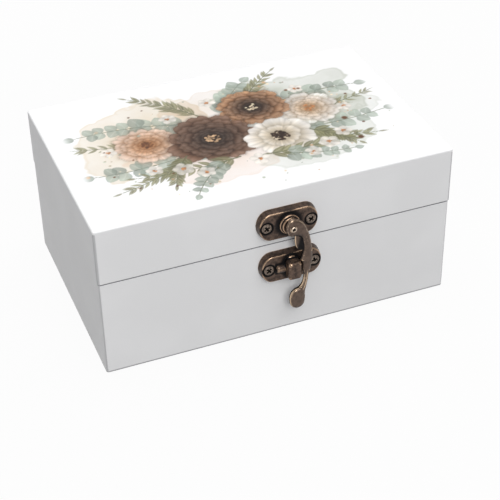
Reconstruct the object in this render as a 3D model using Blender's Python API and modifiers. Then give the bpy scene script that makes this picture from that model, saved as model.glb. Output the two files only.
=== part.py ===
"""Wooden keepsake box: a mitred base and lid, two butt hinges and a swinging horn latch.

Sizes are in metres. +Z is up, the front faces -Y, and the origin is the middle of the underside.
"""
import math

import bmesh
import bpy
from mathutils import Matrix

# Case: two frames of mitred boards, with a top glued on the lid and a bottom let into the base
BOX_WIDTH = 0.160
BOX_DEPTH = 0.105
BASE_HEIGHT = 0.0462
LID_HEIGHT = 0.0264
SEAM_GAP = 0.0004
WALL_THICKNESS = 0.007
TOP_THICKNESS = 0.004
BOTTOM_THICKNESS = 0.003
RABBET_WIDTH = 0.0035
LID_OVERHANG = 0.0003
CORNER_RADIUS = 0.0012
TOP_EDGE_RADIUS = 0.0010
FOOT_EDGE_RADIUS = 0.0005
SEAM_EDGE_RADIUS = 0.0003

# Fits that all the pieces share
GLUE_LINE = 0.00005
PANEL_CLEARANCE = 0.0002
SEAT_GAP = 0.0002
HOLE_CLEARANCE = 0.00015
CUT_OVERRUN = 0.001
MERGE_DISTANCE = 0.000001

# Latch plates: the hook's plate on the lid, the catch's plate on the base
HOOK_OFFSET = 0.0022
HOOK_ABOVE_SEAM = 0.0114
CATCH_OFFSET = 0.0036
CATCH_BELOW_SEAM = 0.0105
HOOK_PLATE_WIDTH = 0.0273
CATCH_PLATE_WIDTH = 0.0283
PLATE_HEIGHT = 0.0140
PLATE_DROP = 0.00035
PLATE_THICKNESS = 0.0036
PLATE_END_LENGTH = 0.0056
PLATE_SIDE_SLOPE = 0.0005
PLATE_EDGE_RADIUS = 0.0005
PLATE_SCREW_INSET = 0.0037

# Drum, rivet and swinging hook
DRUM_RADIUS = 0.0046
DRUM_RISE = 0.0024
DRUM_STEP_RADIUS = 0.00385
DRUM_STEP_RISE = 0.0013
DRUM_EDGE_RADIUS = 0.0004
DRUM_FILLET = 0.0005
RIVET_RADIUS = 0.0011
RIVET_HEAD_RADIUS = 0.0015
RIVET_HEAD_RISE = 0.0006
RIVET_DIMPLE_RADIUS = 0.0006
RIVET_DIMPLE_DEPTH = 0.0003
HOOK_RUNNING_GAP = 0.0002
HOOK_THICKNESS = 0.0024
HOOK_EDGE_RADIUS = 0.0006
HOOK_EYE_WIDTH = 0.0058
HOOK_EYE_HEIGHT = 0.0088
HOOK_ARM_WIDTH = 0.00425
HOOK_NOTCH_GAP = 0.0003
HOOK_LIP_SET_BACK = 0.0010
HOOK_NOTCH_BOW = 0.0002
HOOK_CUSP_REACH = 0.0006
HOOK_CUSP_RISE = 0.0003
HOOK_WEB_SET_BACK = 0.0004
HOOK_WEB_THICKNESS = 0.0012
HOOK_WEB_EDGE_RADIUS = 0.0004
HOOK_TAIL_BELOW_POST = 0.0072
HOOK_TAIL_LENGTH = 0.0089

# Catch: a low oval boss with a post for the hook, left of its plate's middle, between two ribs
POST_OFFSET = -0.0005
POST_WIDTH = 0.0060
POST_HEIGHT = 0.0086
POST_RISE = 0.0056
POST_CORNER_RADIUS = 0.0014
POST_EDGE_RADIUS = 0.0010
BOSS_WIDTH = 0.0074
BOSS_HEIGHT = 0.0106
BOSS_RISE = 0.0012
BOSS_EDGE_RADIUS = 0.0006
RIB_RADIUS = 0.0020
RIB_RISE = 0.0020
RIB_SCREW_GAP = 0.0004

# Latch screws, countersunk
LATCH_SCREW_HEAD_RADIUS = 0.0024
LATCH_SCREW_HEAD_DEPTH = 0.0013
LATCH_SCREW_HEAD_RIM = 0.0003
LATCH_SCREW_HEAD_CROWN = 0.0003
LATCH_SCREW_RADIUS = 0.0010
LATCH_SCREW_LENGTH = 0.0092

# Hinges: rolled knuckles on a plain pin, the leaves screwed on the back
HINGE_SPACING = 0.090
LEAF_LENGTH = 0.020
LEAF_HEIGHT = 0.0090
LEAF_THICKNESS = 0.0008
LEAF_CORNER_RADIUS = 0.0012
HINGE_PIN_RADIUS = 0.0009
HINGE_PIN_CLEARANCE = 0.0001
HINGE_PIN_STICK_OUT = 0.0003
HINGE_PIN_EDGE_RADIUS = 0.0002
KNUCKLE_GAP = 0.00015
KNUCKLE_COUNT = 3
KNUCKLE_CURL = math.radians(290)
HINGE_SCREW_INSET = 0.0045
HINGE_SCREW_DROP = 0.0055
HINGE_SCREW_HEAD_RADIUS = 0.0016
HINGE_SCREW_HEAD_RISE = 0.00065
HINGE_SCREW_HEAD_RIM = 0.0002
HINGE_SCREW_RADIUS = 0.00075
HINGE_SCREW_LENGTH = 0.0062

# Shares that hold for every screw, and for the rivet's hollow
SCREW_POINT_SHARE = 0.3
CROSS_REACH_SHARE = 0.62
CROSS_WIDTH_SHARE = 0.24
CROSS_TAPER_SHARE = 0.8
CROSS_DEPTH_SHARE = 0.45

# Outline of the hook from its eye down the outer side, round the tail and up to the notch, then
# from the notch to the eye: shares of its reach to the right and of its drop below the pivot
HOOK_OUTER_SHARES = (
    (0.54, 0.045), (0.79, -0.059), (0.96, -0.171), (1.05, -0.307), (1.07, -0.396), (1.01, -0.490),
    (0.89, -0.592), (0.79, -0.712), (0.69, -0.804), (0.68, -0.906), (0.56, -0.974), (0.23, -1.000),
    (-0.05, -0.967), (-0.143, -0.894), (-0.119, -0.823), (0.10, -0.764), (0.37, -0.743),
)
HOOK_INNER_SHARES = ((0.500, -0.366), (0.590, -0.288), (0.567, -0.208), (0.440, -0.126))
EYE_OPENING = math.radians(72)
EYE_POINTS = 6

# Outline of the thin web that fills the corner under the eye, in the same shares
HOOK_WEB_SHARES = (
    (0.14, -0.06), (0.14, -0.13), (0.15, -0.20), (0.22, -0.25), (0.42, -0.288), (0.66, -0.305),
    (0.76, -0.20), (0.60, -0.07), (0.36, -0.01),
)

# Roundness
ARC_STEPS = 3
EASE_STEPS = 2
END_STEPS = 12
TURN_STEPS = 32
SCREW_STEPS = 20
KNUCKLE_STEP = math.radians(14.5)
SPLINE_STEPS = 4
FLAT_ANGLE = math.radians(0.2)
SMOOTH_ANGLE = math.radians(30)

# Finishes: colour, roughness, metallic
PAINTED_WOOD = ("painted_wood", (0.78, 0.78, 0.77), 0.45, 0.0)
PLYWOOD = ("plywood", (0.62, 0.47, 0.31), 0.65, 0.0)
ANTIQUE_BRONZE = ("antique_bronze", (0.17, 0.125, 0.085), 0.38, 0.9)
SCREW_BRONZE = ("screw_bronze", (0.24, 0.19, 0.14), 0.35, 0.9)

# Places that follow from the sizes
SEAM_MIDDLE = BASE_HEIGHT + SEAM_GAP / 2
LID_FLOOR = BASE_HEIGHT + SEAM_GAP
BASE_FRONT = -BOX_DEPTH / 2
LID_FRONT = BASE_FRONT - LID_OVERHANG
BACK = BOX_DEPTH / 2
LID_WALL_HEIGHT = LID_HEIGHT - TOP_THICKNESS - GLUE_LINE
KNUCKLE_BORE = HINGE_PIN_RADIUS + HINGE_PIN_CLEARANCE
KNUCKLE_RADIUS = KNUCKLE_BORE + LEAF_THICKNESS
HINGE_AXIS = (0, BACK + SEAT_GAP + KNUCKLE_RADIUS, SEAM_MIDDLE)
HOOK_PIVOT = (HOOK_OFFSET, LID_FRONT - SEAT_GAP, SEAM_MIDDLE + HOOK_ABOVE_SEAM)
CATCH_PLACE = (CATCH_OFFSET, BASE_FRONT - SEAT_GAP, SEAM_MIDDLE - CATCH_BELOW_SEAM)
POST_PLACE = (CATCH_PLACE[0] + POST_OFFSET, CATCH_PLACE[1], CATCH_PLACE[2])
DRUM_FACE = PLATE_THICKNESS + DRUM_RISE
HOOK_BACK = DRUM_FACE + HOOK_RUNNING_GAP
HOOK_FACE = HOOK_BACK + HOOK_THICKNESS

# Turns from a piece's own XY plane: to the front, to the back, and to a hinge's side view
FACING_FRONT = (math.pi / 2, 0, 0)
FACING_BACK = (-math.pi / 2, 0, 0)
FACING_SIDE = (math.pi / 2, 0, math.pi / 2)


def clear_scene():
    """Remove every object, so that the script can run in any file."""
    for thing in list(bpy.data.objects):
        bpy.data.objects.remove(thing, do_unlink=True)


def make_collection(name):
    collection = bpy.data.collections.new(name)
    bpy.context.scene.collection.children.link(collection)
    return collection


def make_material(finish):
    """A plain Principled material, made once for each finish."""
    name, colour, roughness, metallic = finish
    material = bpy.data.materials.get(name)
    if material is None:
        material = bpy.data.materials.new(name)
        material.use_nodes = True
        shader = material.node_tree.nodes["Principled BSDF"]
        shader.inputs["Base Color"].default_value = (*colour, 1)
        shader.inputs["Roughness"].default_value = roughness
        shader.inputs["Metallic"].default_value = metallic
        material.diffuse_color = (*colour, 1)
    return material


def arc(centre, radius, start, sweep, steps):
    """Points along an arc, both ends included."""
    angles = [start + sweep * step / steps for step in range(steps + 1)]
    return [(centre[0] + radius * math.cos(a), centre[1] + radius * math.sin(a)) for a in angles]


def curve_mesh(name, points, thickness, corners=None):
    """Mesh of a flat outline in XY, thickened from z = 0 up. With corners, it is smooth but there."""
    curve = bpy.data.curves.new(name, "CURVE")
    curve.dimensions = "2D"
    curve.fill_mode = "BOTH"
    curve.extrude = thickness / 2
    curve.resolution_u = SPLINE_STEPS
    if corners is None:
        spline = curve.splines.new("POLY")
        spline.points.add(len(points) - 1)
        for point, (x, y) in zip(spline.points, points):
            point.co = (x, y, 0, 1)
    else:
        spline = curve.splines.new("BEZIER")
        spline.bezier_points.add(len(points) - 1)
        for number, (point, (x, y)) in enumerate(zip(spline.bezier_points, points)):
            point.co = (x, y, 0)
            handle = "VECTOR" if number in corners else "AUTO"
            point.handle_left_type = handle
            point.handle_right_type = handle
    spline.use_cyclic_u = True
    guide = bpy.data.objects.new(name, curve)
    bpy.context.scene.collection.objects.link(guide)
    bpy.context.view_layer.update()
    evaluated = guide.evaluated_get(bpy.context.evaluated_depsgraph_get())
    mesh = bpy.data.meshes.new_from_object(evaluated)
    bpy.data.objects.remove(guide)
    bpy.data.curves.remove(curve)
    shape = bmesh.new()
    shape.from_mesh(mesh)
    bmesh.ops.remove_doubles(shape, verts=shape.verts, dist=MERGE_DISTANCE)
    bmesh.ops.dissolve_limit(shape, angle_limit=FLAT_ANGLE, verts=shape.verts, edges=shape.edges)
    bmesh.ops.translate(shape, verts=shape.verts, vec=(0, 0, thickness / 2))
    shape.to_mesh(mesh)
    shape.free()
    return mesh


def round_edges(mesh, chosen, radius, steps=ARC_STEPS):
    """Round the edges for which chosen(first, second) is true of their two ends."""
    shape = bmesh.new()
    shape.from_mesh(mesh)
    edges = [edge for edge in shape.edges if chosen(edge.verts[0].co, edge.verts[1].co)]
    bmesh.ops.bevel(
        shape, geom=edges, offset=radius, offset_type="OFFSET", segments=steps,
        profile=0.5, affect="EDGES", clamp_overlap=False, material=-1,
    )
    shape.to_mesh(mesh)
    shape.free()


def rim_at(height):
    """A test for the edges that lie at one height of a thickened outline."""
    def chosen(first, second):
        return max(abs(first.z - height), abs(second.z - height)) < MERGE_DISTANCE
    return chosen


def turned_mesh(name, profile, steps=TURN_STEPS):
    """Mesh of a profile of (radius, height) points, listed top to bottom, turned about Z."""
    mesh = bpy.data.meshes.new(name)
    links = [(number, number + 1) for number in range(len(profile) - 1)]
    mesh.from_pydata([(radius, 0, height) for radius, height in profile], links, [])
    blank = bpy.data.objects.new(name, mesh)
    bpy.context.scene.collection.objects.link(blank)
    turn = blank.modifiers.new("turn", "SCREW")
    turn.axis = "Z"
    turn.angle = math.tau
    turn.steps = steps
    turn.render_steps = steps
    turn.use_merge_vertices = True
    turn.merge_threshold = MERGE_DISTANCE
    return baked_mesh(blank)


def baked_mesh(blank):
    """The blank's mesh with its modifiers applied; the blank itself is removed."""
    bpy.context.view_layer.update()
    evaluated = blank.evaluated_get(bpy.context.evaluated_depsgraph_get())
    mesh = bpy.data.meshes.new_from_object(evaluated)
    mesh.name = blank.name
    bpy.data.objects.remove(blank)
    return mesh


def box_mesh(name, low, high):
    """Mesh of a box between two corners."""
    shape = bmesh.new()
    bmesh.ops.create_cube(shape, size=1)
    size = [h - l for l, h in zip(low, high)]
    middle = [(h + l) / 2 for l, h in zip(low, high)]
    bmesh.ops.scale(shape, verts=shape.verts, vec=size)
    bmesh.ops.translate(shape, verts=shape.verts, vec=middle)
    mesh = bpy.data.meshes.new(name)
    shape.to_mesh(mesh)
    shape.free()
    return mesh


def rod_mesh(name, radius, start, end, steps=SCREW_STEPS):
    """Mesh of a plain round rod along Z, from one height to another."""
    shape = bmesh.new()
    bmesh.ops.create_cone(
        shape, cap_ends=True, segments=steps, radius1=radius, radius2=radius, depth=end - start
    )
    bmesh.ops.translate(shape, verts=shape.verts, vec=(0, 0, (start + end) / 2))
    mesh = bpy.data.meshes.new(name)
    shape.to_mesh(mesh)
    shape.free()
    return mesh


class Workshop:
    """Holds the two collections and puts finished pieces and cutters in them."""

    def __init__(self):
        self.pieces = make_collection("keepsake_box")
        self.cutters = make_collection("cutters")
        self.lid_axis = self.add_empty("lid_hinge_axis", HINGE_AXIS, None)
        self.hook_axis = self.add_empty("hook_pivot", HOOK_PIVOT, self.lid_axis)

    def add_empty(self, name, place, parent):
        empty = bpy.data.objects.new(name, None)
        empty.empty_display_size = DRUM_RADIUS
        self.pieces.objects.link(empty)
        self.settle(empty, place, (0, 0, 0), parent)
        return empty

    def settle(self, thing, place, turn, parent):
        """Put a thing at a place in the world, carried by its parent if it has one."""
        thing.location = place
        thing.rotation_euler = turn
        if parent is not None:
            thing.parent = parent
            thing.matrix_parent_inverse = parent.matrix_world.inverted()
        bpy.context.view_layer.update()

    def add_piece(self, name, mesh, finish, place=(0, 0, 0), turn=(0, 0, 0), parent=None):
        """A finished piece with its own material, smooth where its faces meet at low angles."""
        piece = bpy.data.objects.new(name, mesh)
        self.pieces.objects.link(piece)
        self.settle(piece, place, turn, parent)
        if not mesh.materials:
            mesh.materials.append(make_material(finish))
        mesh.shade_smooth()
        mesh.set_sharp_from_angle(angle=SMOOTH_ANGLE)
        return piece

    def add_cutter(self, name, mesh, place=(0, 0, 0), turn=(0, 0, 0), parent=None):
        """A shape that cuts or joins others, and isn't itself part of the box."""
        cutter = bpy.data.objects.new(name, mesh)
        cutter.hide_render = True
        cutter.display_type = "WIRE"
        self.cutters.objects.link(cutter)
        self.settle(cutter, place, turn, parent)
        return cutter


def combine(piece, tool, operation):
    """Cut a piece with a tool, or join the tool to it."""
    step = piece.modifiers.new(tool.name, "BOOLEAN")
    step.operation = operation
    step.object = tool
    step.solver = "EXACT"


def board_mesh(name, length, height, rounded):
    """A board along X with its outer face at y = 0, both ends mitred, outer edges eased.

    rounded lists (height of the edge, radius) for the long outer edges.
    """
    shift = GLUE_LINE / math.sqrt(2)
    quarter = math.pi / 4
    middle = length / 2 - CORNER_RADIUS
    left = arc((-middle, CORNER_RADIUS), CORNER_RADIUS, -3 * quarter, quarter, ARC_STEPS)
    right = arc((middle, CORNER_RADIUS), CORNER_RADIUS, -2 * quarter, quarter, ARC_STEPS)
    left[0] = (left[0][0] + shift, left[0][1])
    right[-1] = (right[-1][0] - shift, right[-1][1])
    inner = length / 2 - WALL_THICKNESS - shift
    outline = left + right + [(inner, WALL_THICKNESS), (-inner, WALL_THICKNESS)]
    mesh = curve_mesh(name, outline, height)
    for edge_height, radius in rounded:
        at_height = rim_at(edge_height)

        def outer_edge(first, second):
            return at_height(first, second) and max(first.y, second.y) < CORNER_RADIUS

        round_edges(mesh, outer_edge, radius)
    return mesh


def rectangle_mesh(name, width, depth, thickness, corner_radius):
    """A flat panel centred on the origin, with rounded corners if they have a radius."""
    outline = []
    for number, (side_x, side_y) in enumerate(((1, 1), (-1, 1), (-1, -1), (1, -1))):
        centre = (side_x * (width / 2 - corner_radius), side_y * (depth / 2 - corner_radius))
        if corner_radius:
            outline += arc(centre, corner_radius, number * math.pi / 2, math.pi / 2, 2 * ARC_STEPS)
        else:
            outline.append(centre)
    return curve_mesh(name, outline, thickness)


def add_frame(shop, prefix, width, depth, middle_y, floor, height, rounded, parent):
    """Four mitred boards round a rectangle. Returns them by side."""
    sides = (
        ("front", width, (0, middle_y - depth / 2, floor), 0),
        ("right", depth, (width / 2, middle_y, floor), math.pi / 2),
        ("back", width, (0, middle_y + depth / 2, floor), math.pi),
        ("left", depth, (-width / 2, middle_y, floor), -math.pi / 2),
    )
    walls = {}
    for side, length, place, turn in sides:
        name = f"{prefix}_{side}_wall"
        mesh = board_mesh(name, length, height, rounded)
        walls[side] = shop.add_piece(name, mesh, PAINTED_WOOD, place, (0, 0, turn), parent)
    return walls


def build_base(shop):
    """Base frame, rabbeted for its bottom panel."""
    edges = ((0, FOOT_EDGE_RADIUS), (BASE_HEIGHT, SEAM_EDGE_RADIUS))
    walls = add_frame(shop, "base", BOX_WIDTH, BOX_DEPTH, 0, 0, BASE_HEIGHT, edges, None)
    rabbet_x = BOX_WIDTH / 2 - WALL_THICKNESS + RABBET_WIDTH
    rabbet_y = BOX_DEPTH / 2 - WALL_THICKNESS + RABBET_WIDTH
    rabbet = shop.add_cutter("bottom_rabbet", box_mesh(
        "bottom_rabbet",
        (-rabbet_x, -rabbet_y, -CUT_OVERRUN),
        (rabbet_x, rabbet_y, BOTTOM_THICKNESS + PANEL_CLEARANCE),
    ))
    for wall in walls.values():
        combine(wall, rabbet, "DIFFERENCE")
    width = 2 * (rabbet_x - PANEL_CLEARANCE)
    depth = 2 * (rabbet_y - PANEL_CLEARANCE)
    panel = rectangle_mesh("base_bottom_panel", width, depth, BOTTOM_THICKNESS, 0)
    shop.add_piece("base_bottom_panel", panel, PLYWOOD)
    return walls


def build_lid(shop):
    """Lid frame under a top panel with softly rounded edges, a little wider than the base."""
    width = BOX_WIDTH + 2 * LID_OVERHANG
    depth = BOX_DEPTH + LID_OVERHANG
    middle_y = -LID_OVERHANG / 2
    edges = ((0, SEAM_EDGE_RADIUS),)
    walls = add_frame(
        shop, "lid", width, depth, middle_y, LID_FLOOR, LID_WALL_HEIGHT, edges, shop.lid_axis
    )
    top = rectangle_mesh("lid_top_panel", width, depth, TOP_THICKNESS, CORNER_RADIUS)
    round_edges(top, rim_at(TOP_THICKNESS), TOP_EDGE_RADIUS)
    place = (0, middle_y, LID_FLOOR + LID_HEIGHT - TOP_THICKNESS)
    shop.add_piece("lid_top_panel", top, PAINTED_WOOD, place, parent=shop.lid_axis)
    return walls


def countersunk_screw_mesh():
    """Latch screw, with z = 0 where its head meets the plate's face."""
    head = LATCH_SCREW_HEAD_RADIUS
    neck = -LATCH_SCREW_HEAD_RIM - LATCH_SCREW_HEAD_DEPTH
    tip = LATCH_SCREW_HEAD_CROWN - LATCH_SCREW_LENGTH
    profile = (
        (0, LATCH_SCREW_HEAD_CROWN),
        (head * CROSS_REACH_SHARE, LATCH_SCREW_HEAD_CROWN * CROSS_REACH_SHARE),
        (head, 0),
        (head, -LATCH_SCREW_HEAD_RIM),
        (LATCH_SCREW_RADIUS, neck),
        (LATCH_SCREW_RADIUS, tip * (1 - SCREW_POINT_SHARE)),
        (0, tip),
    )
    return crossed_screw_mesh("latch_screw", profile, head, LATCH_SCREW_HEAD_CROWN)


def round_head_screw_mesh():
    """Hinge screw, with z = 0 under its head."""
    head = HINGE_SCREW_HEAD_RADIUS
    rise = HINGE_SCREW_HEAD_RISE - HINGE_SCREW_HEAD_RIM
    quarter = math.pi / 2
    dome = [
        (head * math.sin(quarter * step / ARC_STEPS),
         HINGE_SCREW_HEAD_RIM + rise * math.cos(quarter * step / ARC_STEPS))
        for step in range(ARC_STEPS + 1)
    ]
    profile = dome + [
        (head, 0),
        (HINGE_SCREW_RADIUS, 0),
        (HINGE_SCREW_RADIUS, -HINGE_SCREW_LENGTH * (1 - SCREW_POINT_SHARE)),
        (0, -HINGE_SCREW_LENGTH),
    ]
    return crossed_screw_mesh("hinge_screw", profile, head, HINGE_SCREW_HEAD_RISE)


def crossed_screw_mesh(name, profile, head, top):
    """A turned screw with a cross recess sunk in its head."""
    reach = head * CROSS_REACH_SHARE
    arm = head * CROSS_WIDTH_SHARE / 2
    tip = arm * CROSS_TAPER_SHARE
    corners = []
    for number in range(4):
        turn = number * math.pi / 2
        for x, y in ((reach, -tip), (reach, tip), (arm, arm)):
            corners.append((
                x * math.cos(turn) - y * math.sin(turn), x * math.sin(turn) + y * math.cos(turn)
            ))
    depth = head * CROSS_DEPTH_SHARE
    screw = bpy.data.objects.new(name, turned_mesh(name, profile, SCREW_STEPS))
    cross = bpy.data.objects.new(f"{name}_cross", curve_mesh(name, corners, depth + CUT_OVERRUN))
    cross.location = (0, 0, top - depth)
    for thing in (screw, cross):
        bpy.context.scene.collection.objects.link(thing)
    combine(screw, cross, "DIFFERENCE")
    mesh = baked_mesh(screw)
    bpy.data.objects.remove(cross)
    return mesh


def latch_plate_mesh(name, width):
    """A plate with round ends, sloping sides and a rounded front rim, z = 0 on the wall's side.

    Its middle lies below the drum or post that it carries.
    """
    middle = width / 2 - PLATE_END_LENGTH
    outline = []
    for side, start in ((1, -math.pi / 2), (-1, math.pi / 2)):
        for x, y in arc((0, 0), 1, start, math.pi, END_STEPS):
            outline.append((side * middle + x * PLATE_END_LENGTH, y * PLATE_HEIGHT / 2))
    mesh = curve_mesh(name, outline, PLATE_THICKNESS)
    shrink = [1 - 2 * PLATE_SIDE_SLOPE / size for size in (width, PLATE_HEIGHT)]
    shape = bmesh.new()
    shape.from_mesh(mesh)
    front = [vert for vert in shape.verts if vert.co.z > PLATE_THICKNESS / 2]
    bmesh.ops.scale(shape, verts=front, vec=(*shrink, 1))
    bmesh.ops.translate(shape, verts=shape.verts, vec=(0, -PLATE_DROP, 0))
    shape.to_mesh(mesh)
    shape.free()
    round_edges(mesh, rim_at(PLATE_THICKNESS), PLATE_EDGE_RADIUS)
    return mesh


def raised_round_mesh(name, radius, top, edge_radius, fillet):
    """A round boss on a plate, rooted inside the plate, with a fillet at its foot."""
    profile = [(0, top)]
    profile += [(x, y) for x, y in reversed(arc(
        (radius - edge_radius, top - edge_radius), edge_radius, 0, math.pi / 2, ARC_STEPS
    ))]
    if fillet:
        profile += [(x, y) for x, y in arc(
            (radius + fillet, PLATE_THICKNESS + fillet), fillet, math.pi, math.pi / 2, ARC_STEPS
        )]
    foot = profile[-1][0]
    profile += [(foot, PLATE_THICKNESS / 2), (0, PLATE_THICKNESS / 2)]
    return turned_mesh(name, profile)


def screw_hole_mesh(name):
    """Cutter for a latch screw's countersink and its clearance hole, z = 0 at the plate's face."""
    head = LATCH_SCREW_HEAD_RADIUS + HOLE_CLEARANCE
    shank = LATCH_SCREW_RADIUS + HOLE_CLEARANCE
    bottom = -PLATE_THICKNESS - CUT_OVERRUN
    neck = -LATCH_SCREW_HEAD_RIM - LATCH_SCREW_HEAD_DEPTH - HOLE_CLEARANCE
    profile = (
        (0, RIB_RISE + CUT_OVERRUN),
        (head, RIB_RISE + CUT_OVERRUN),
        (head, -LATCH_SCREW_HEAD_RIM - HOLE_CLEARANCE),
        (shank, neck),
        (shank, bottom),
        (0, bottom),
    )
    return turned_mesh(name, profile, SCREW_STEPS)


def add_latch_screws(shop, prefix, plate, place, width, wall, parent):
    """Two screws through a latch plate into its wall, with the holes that they need."""
    hole = screw_hole_mesh(f"{prefix}_screw_hole")
    pilot = rod_mesh(
        f"{prefix}_pilot", LATCH_SCREW_RADIUS + HOLE_CLEARANCE, -LATCH_SCREW_LENGTH, CUT_OVERRUN
    )
    screw = countersunk_screw_mesh()
    for side, sign in (("left", -1), ("right", 1)):
        x, y, z = place
        out = width / 2 - PLATE_SCREW_INSET
        spot = (x + sign * out, y - PLATE_THICKNESS, z - PLATE_DROP)
        name = f"{prefix}_plate_{side}_screw"
        combine(plate, shop.add_cutter(f"{name}_hole", hole, spot, FACING_FRONT), "DIFFERENCE")
        combine(wall, shop.add_cutter(f"{name}_pilot", pilot, spot, FACING_FRONT), "DIFFERENCE")
        shop.add_piece(name, screw, SCREW_BRONZE, spot, FACING_FRONT, parent)


def build_hook_plate(shop, wall):
    """Plate on the lid, with the stepped drum that the hook turns on."""
    mesh = latch_plate_mesh("hook_plate", HOOK_PLATE_WIDTH)
    plate = shop.add_piece(
        "hook_plate", mesh, ANTIQUE_BRONZE, HOOK_PIVOT, FACING_FRONT, shop.lid_axis
    )
    step = PLATE_THICKNESS + DRUM_STEP_RISE
    for name, radius, top, fillet in (
        ("drum_foot", DRUM_RADIUS, step, DRUM_FILLET), ("drum", DRUM_STEP_RADIUS, DRUM_FACE, 0),
    ):
        drum = raised_round_mesh(name, radius, top, DRUM_EDGE_RADIUS, fillet)
        combine(plate, shop.add_cutter(name, drum, HOOK_PIVOT, FACING_FRONT), "UNION")
    bore = rod_mesh(
        "rivet_bore", RIVET_RADIUS + HOLE_CLEARANCE, -CUT_OVERRUN, DRUM_FACE + CUT_OVERRUN
    )
    combine(plate, shop.add_cutter("rivet_bore", bore, HOOK_PIVOT, FACING_FRONT), "DIFFERENCE")
    add_latch_screws(shop, "hook", plate, HOOK_PIVOT, HOOK_PLATE_WIDTH, wall, shop.lid_axis)


def build_rivet(shop):
    """Rivet with a low dimpled head, which holds the hook on the drum."""
    under_head = HOOK_FACE + HOLE_CLEARANCE
    top = under_head + RIVET_HEAD_RISE
    quarter = math.pi / 2
    shoulder = RIVET_HEAD_RADIUS - RIVET_DIMPLE_RADIUS
    dome = [
        (RIVET_DIMPLE_RADIUS + shoulder * math.sin(quarter * step / ARC_STEPS),
         under_head + RIVET_HEAD_RISE * math.cos(quarter * step / ARC_STEPS))
        for step in range(ARC_STEPS + 1)
    ]
    shank = [(RIVET_RADIUS, under_head), (RIVET_RADIUS, 0), (0, 0)]
    profile = [(0, top - RIVET_DIMPLE_DEPTH)] + dome + shank
    mesh = turned_mesh("hook_rivet", profile, SCREW_STEPS)
    shop.add_piece("hook_rivet", mesh, SCREW_BRONZE, HOOK_PIVOT, FACING_FRONT, shop.lid_axis)


def from_hook_shares(shares):
    """Points round the pivot, from shares of the hook's reach and of its drop."""
    post_x, post_y = POST_PLACE[0] - HOOK_PIVOT[0], POST_PLACE[2] - HOOK_PIVOT[2]
    reach = post_x + POST_WIDTH / 2 + HOOK_NOTCH_GAP + HOOK_ARM_WIDTH
    drop = POST_HEIGHT / 2 + HOOK_TAIL_BELOW_POST + HOOK_TAIL_LENGTH - post_y
    return [(x * reach, y * drop) for x, y in shares]


def hook_outline():
    """Points of the hook round its pivot, and the number of its one corner, the notch's cusp.

    The notch follows the post with its gap, and the tail hangs below it.
    """
    post_x, post_y = POST_PLACE[0] - HOOK_PIVOT[0], POST_PLACE[2] - HOOK_PIVOT[2]
    notch = post_x + POST_WIDTH / 2 + HOOK_NOTCH_GAP
    outer = from_hook_shares(HOOK_OUTER_SHARES)
    lip = (notch + HOOK_LIP_SET_BACK, post_y - POST_HEIGHT / 2)
    bow = (notch + HOOK_NOTCH_BOW, post_y)
    shoulder = (notch + HOOK_NOTCH_BOW / 2, post_y + POST_HEIGHT / 2 - POST_CORNER_RADIUS)
    cusp = (notch - HOOK_CUSP_REACH, post_y + POST_HEIGHT / 2 + HOOK_CUSP_RISE)
    inner = from_hook_shares(HOOK_INNER_SHARES)
    round_eye = arc((0, 0), 1, -EYE_OPENING, 2 * EYE_OPENING - math.tau, EYE_POINTS)
    eye = [(x * HOOK_EYE_WIDTH / 2, y * HOOK_EYE_HEIGHT / 2) for x, y in round_eye]
    notch_side = [lip, bow, shoulder, cusp]
    return outer + notch_side + inner + eye, len(outer + notch_side) - 1


def build_hook(shop):
    """The swinging hook: an eye, a bowed arm with a notch for the post, and a drop-shaped tail.

    A thin web, set back from the face, fills the corner between the eye and the arm.
    """
    points, cusp = hook_outline()
    mesh = curve_mesh("swing_hook", points, HOOK_THICKNESS, corners=(cusp,))
    for height in (0, HOOK_THICKNESS):
        round_edges(mesh, rim_at(height), HOOK_EDGE_RADIUS, steps=EASE_STEPS)
    x, y, z = HOOK_PIVOT
    place = (x, y - HOOK_BACK, z)
    hook = shop.add_piece("swing_hook", mesh, ANTIQUE_BRONZE, place, FACING_FRONT, shop.hook_axis)
    web = curve_mesh("hook_web", from_hook_shares(HOOK_WEB_SHARES), HOOK_WEB_THICKNESS, corners=())
    round_edges(web, rim_at(HOOK_WEB_THICKNESS), HOOK_WEB_EDGE_RADIUS, steps=EASE_STEPS)
    web_place = (x, place[1] - HOOK_WEB_SET_BACK, z)
    combine(hook, shop.add_cutter("hook_web", web, web_place, FACING_FRONT), "UNION")
    bore = rod_mesh(
        "eye_bore", RIVET_RADIUS + HOLE_CLEARANCE, -CUT_OVERRUN, HOOK_THICKNESS + CUT_OVERRUN
    )
    combine(hook, shop.add_cutter("eye_bore", bore, place, FACING_FRONT), "DIFFERENCE")


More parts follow.
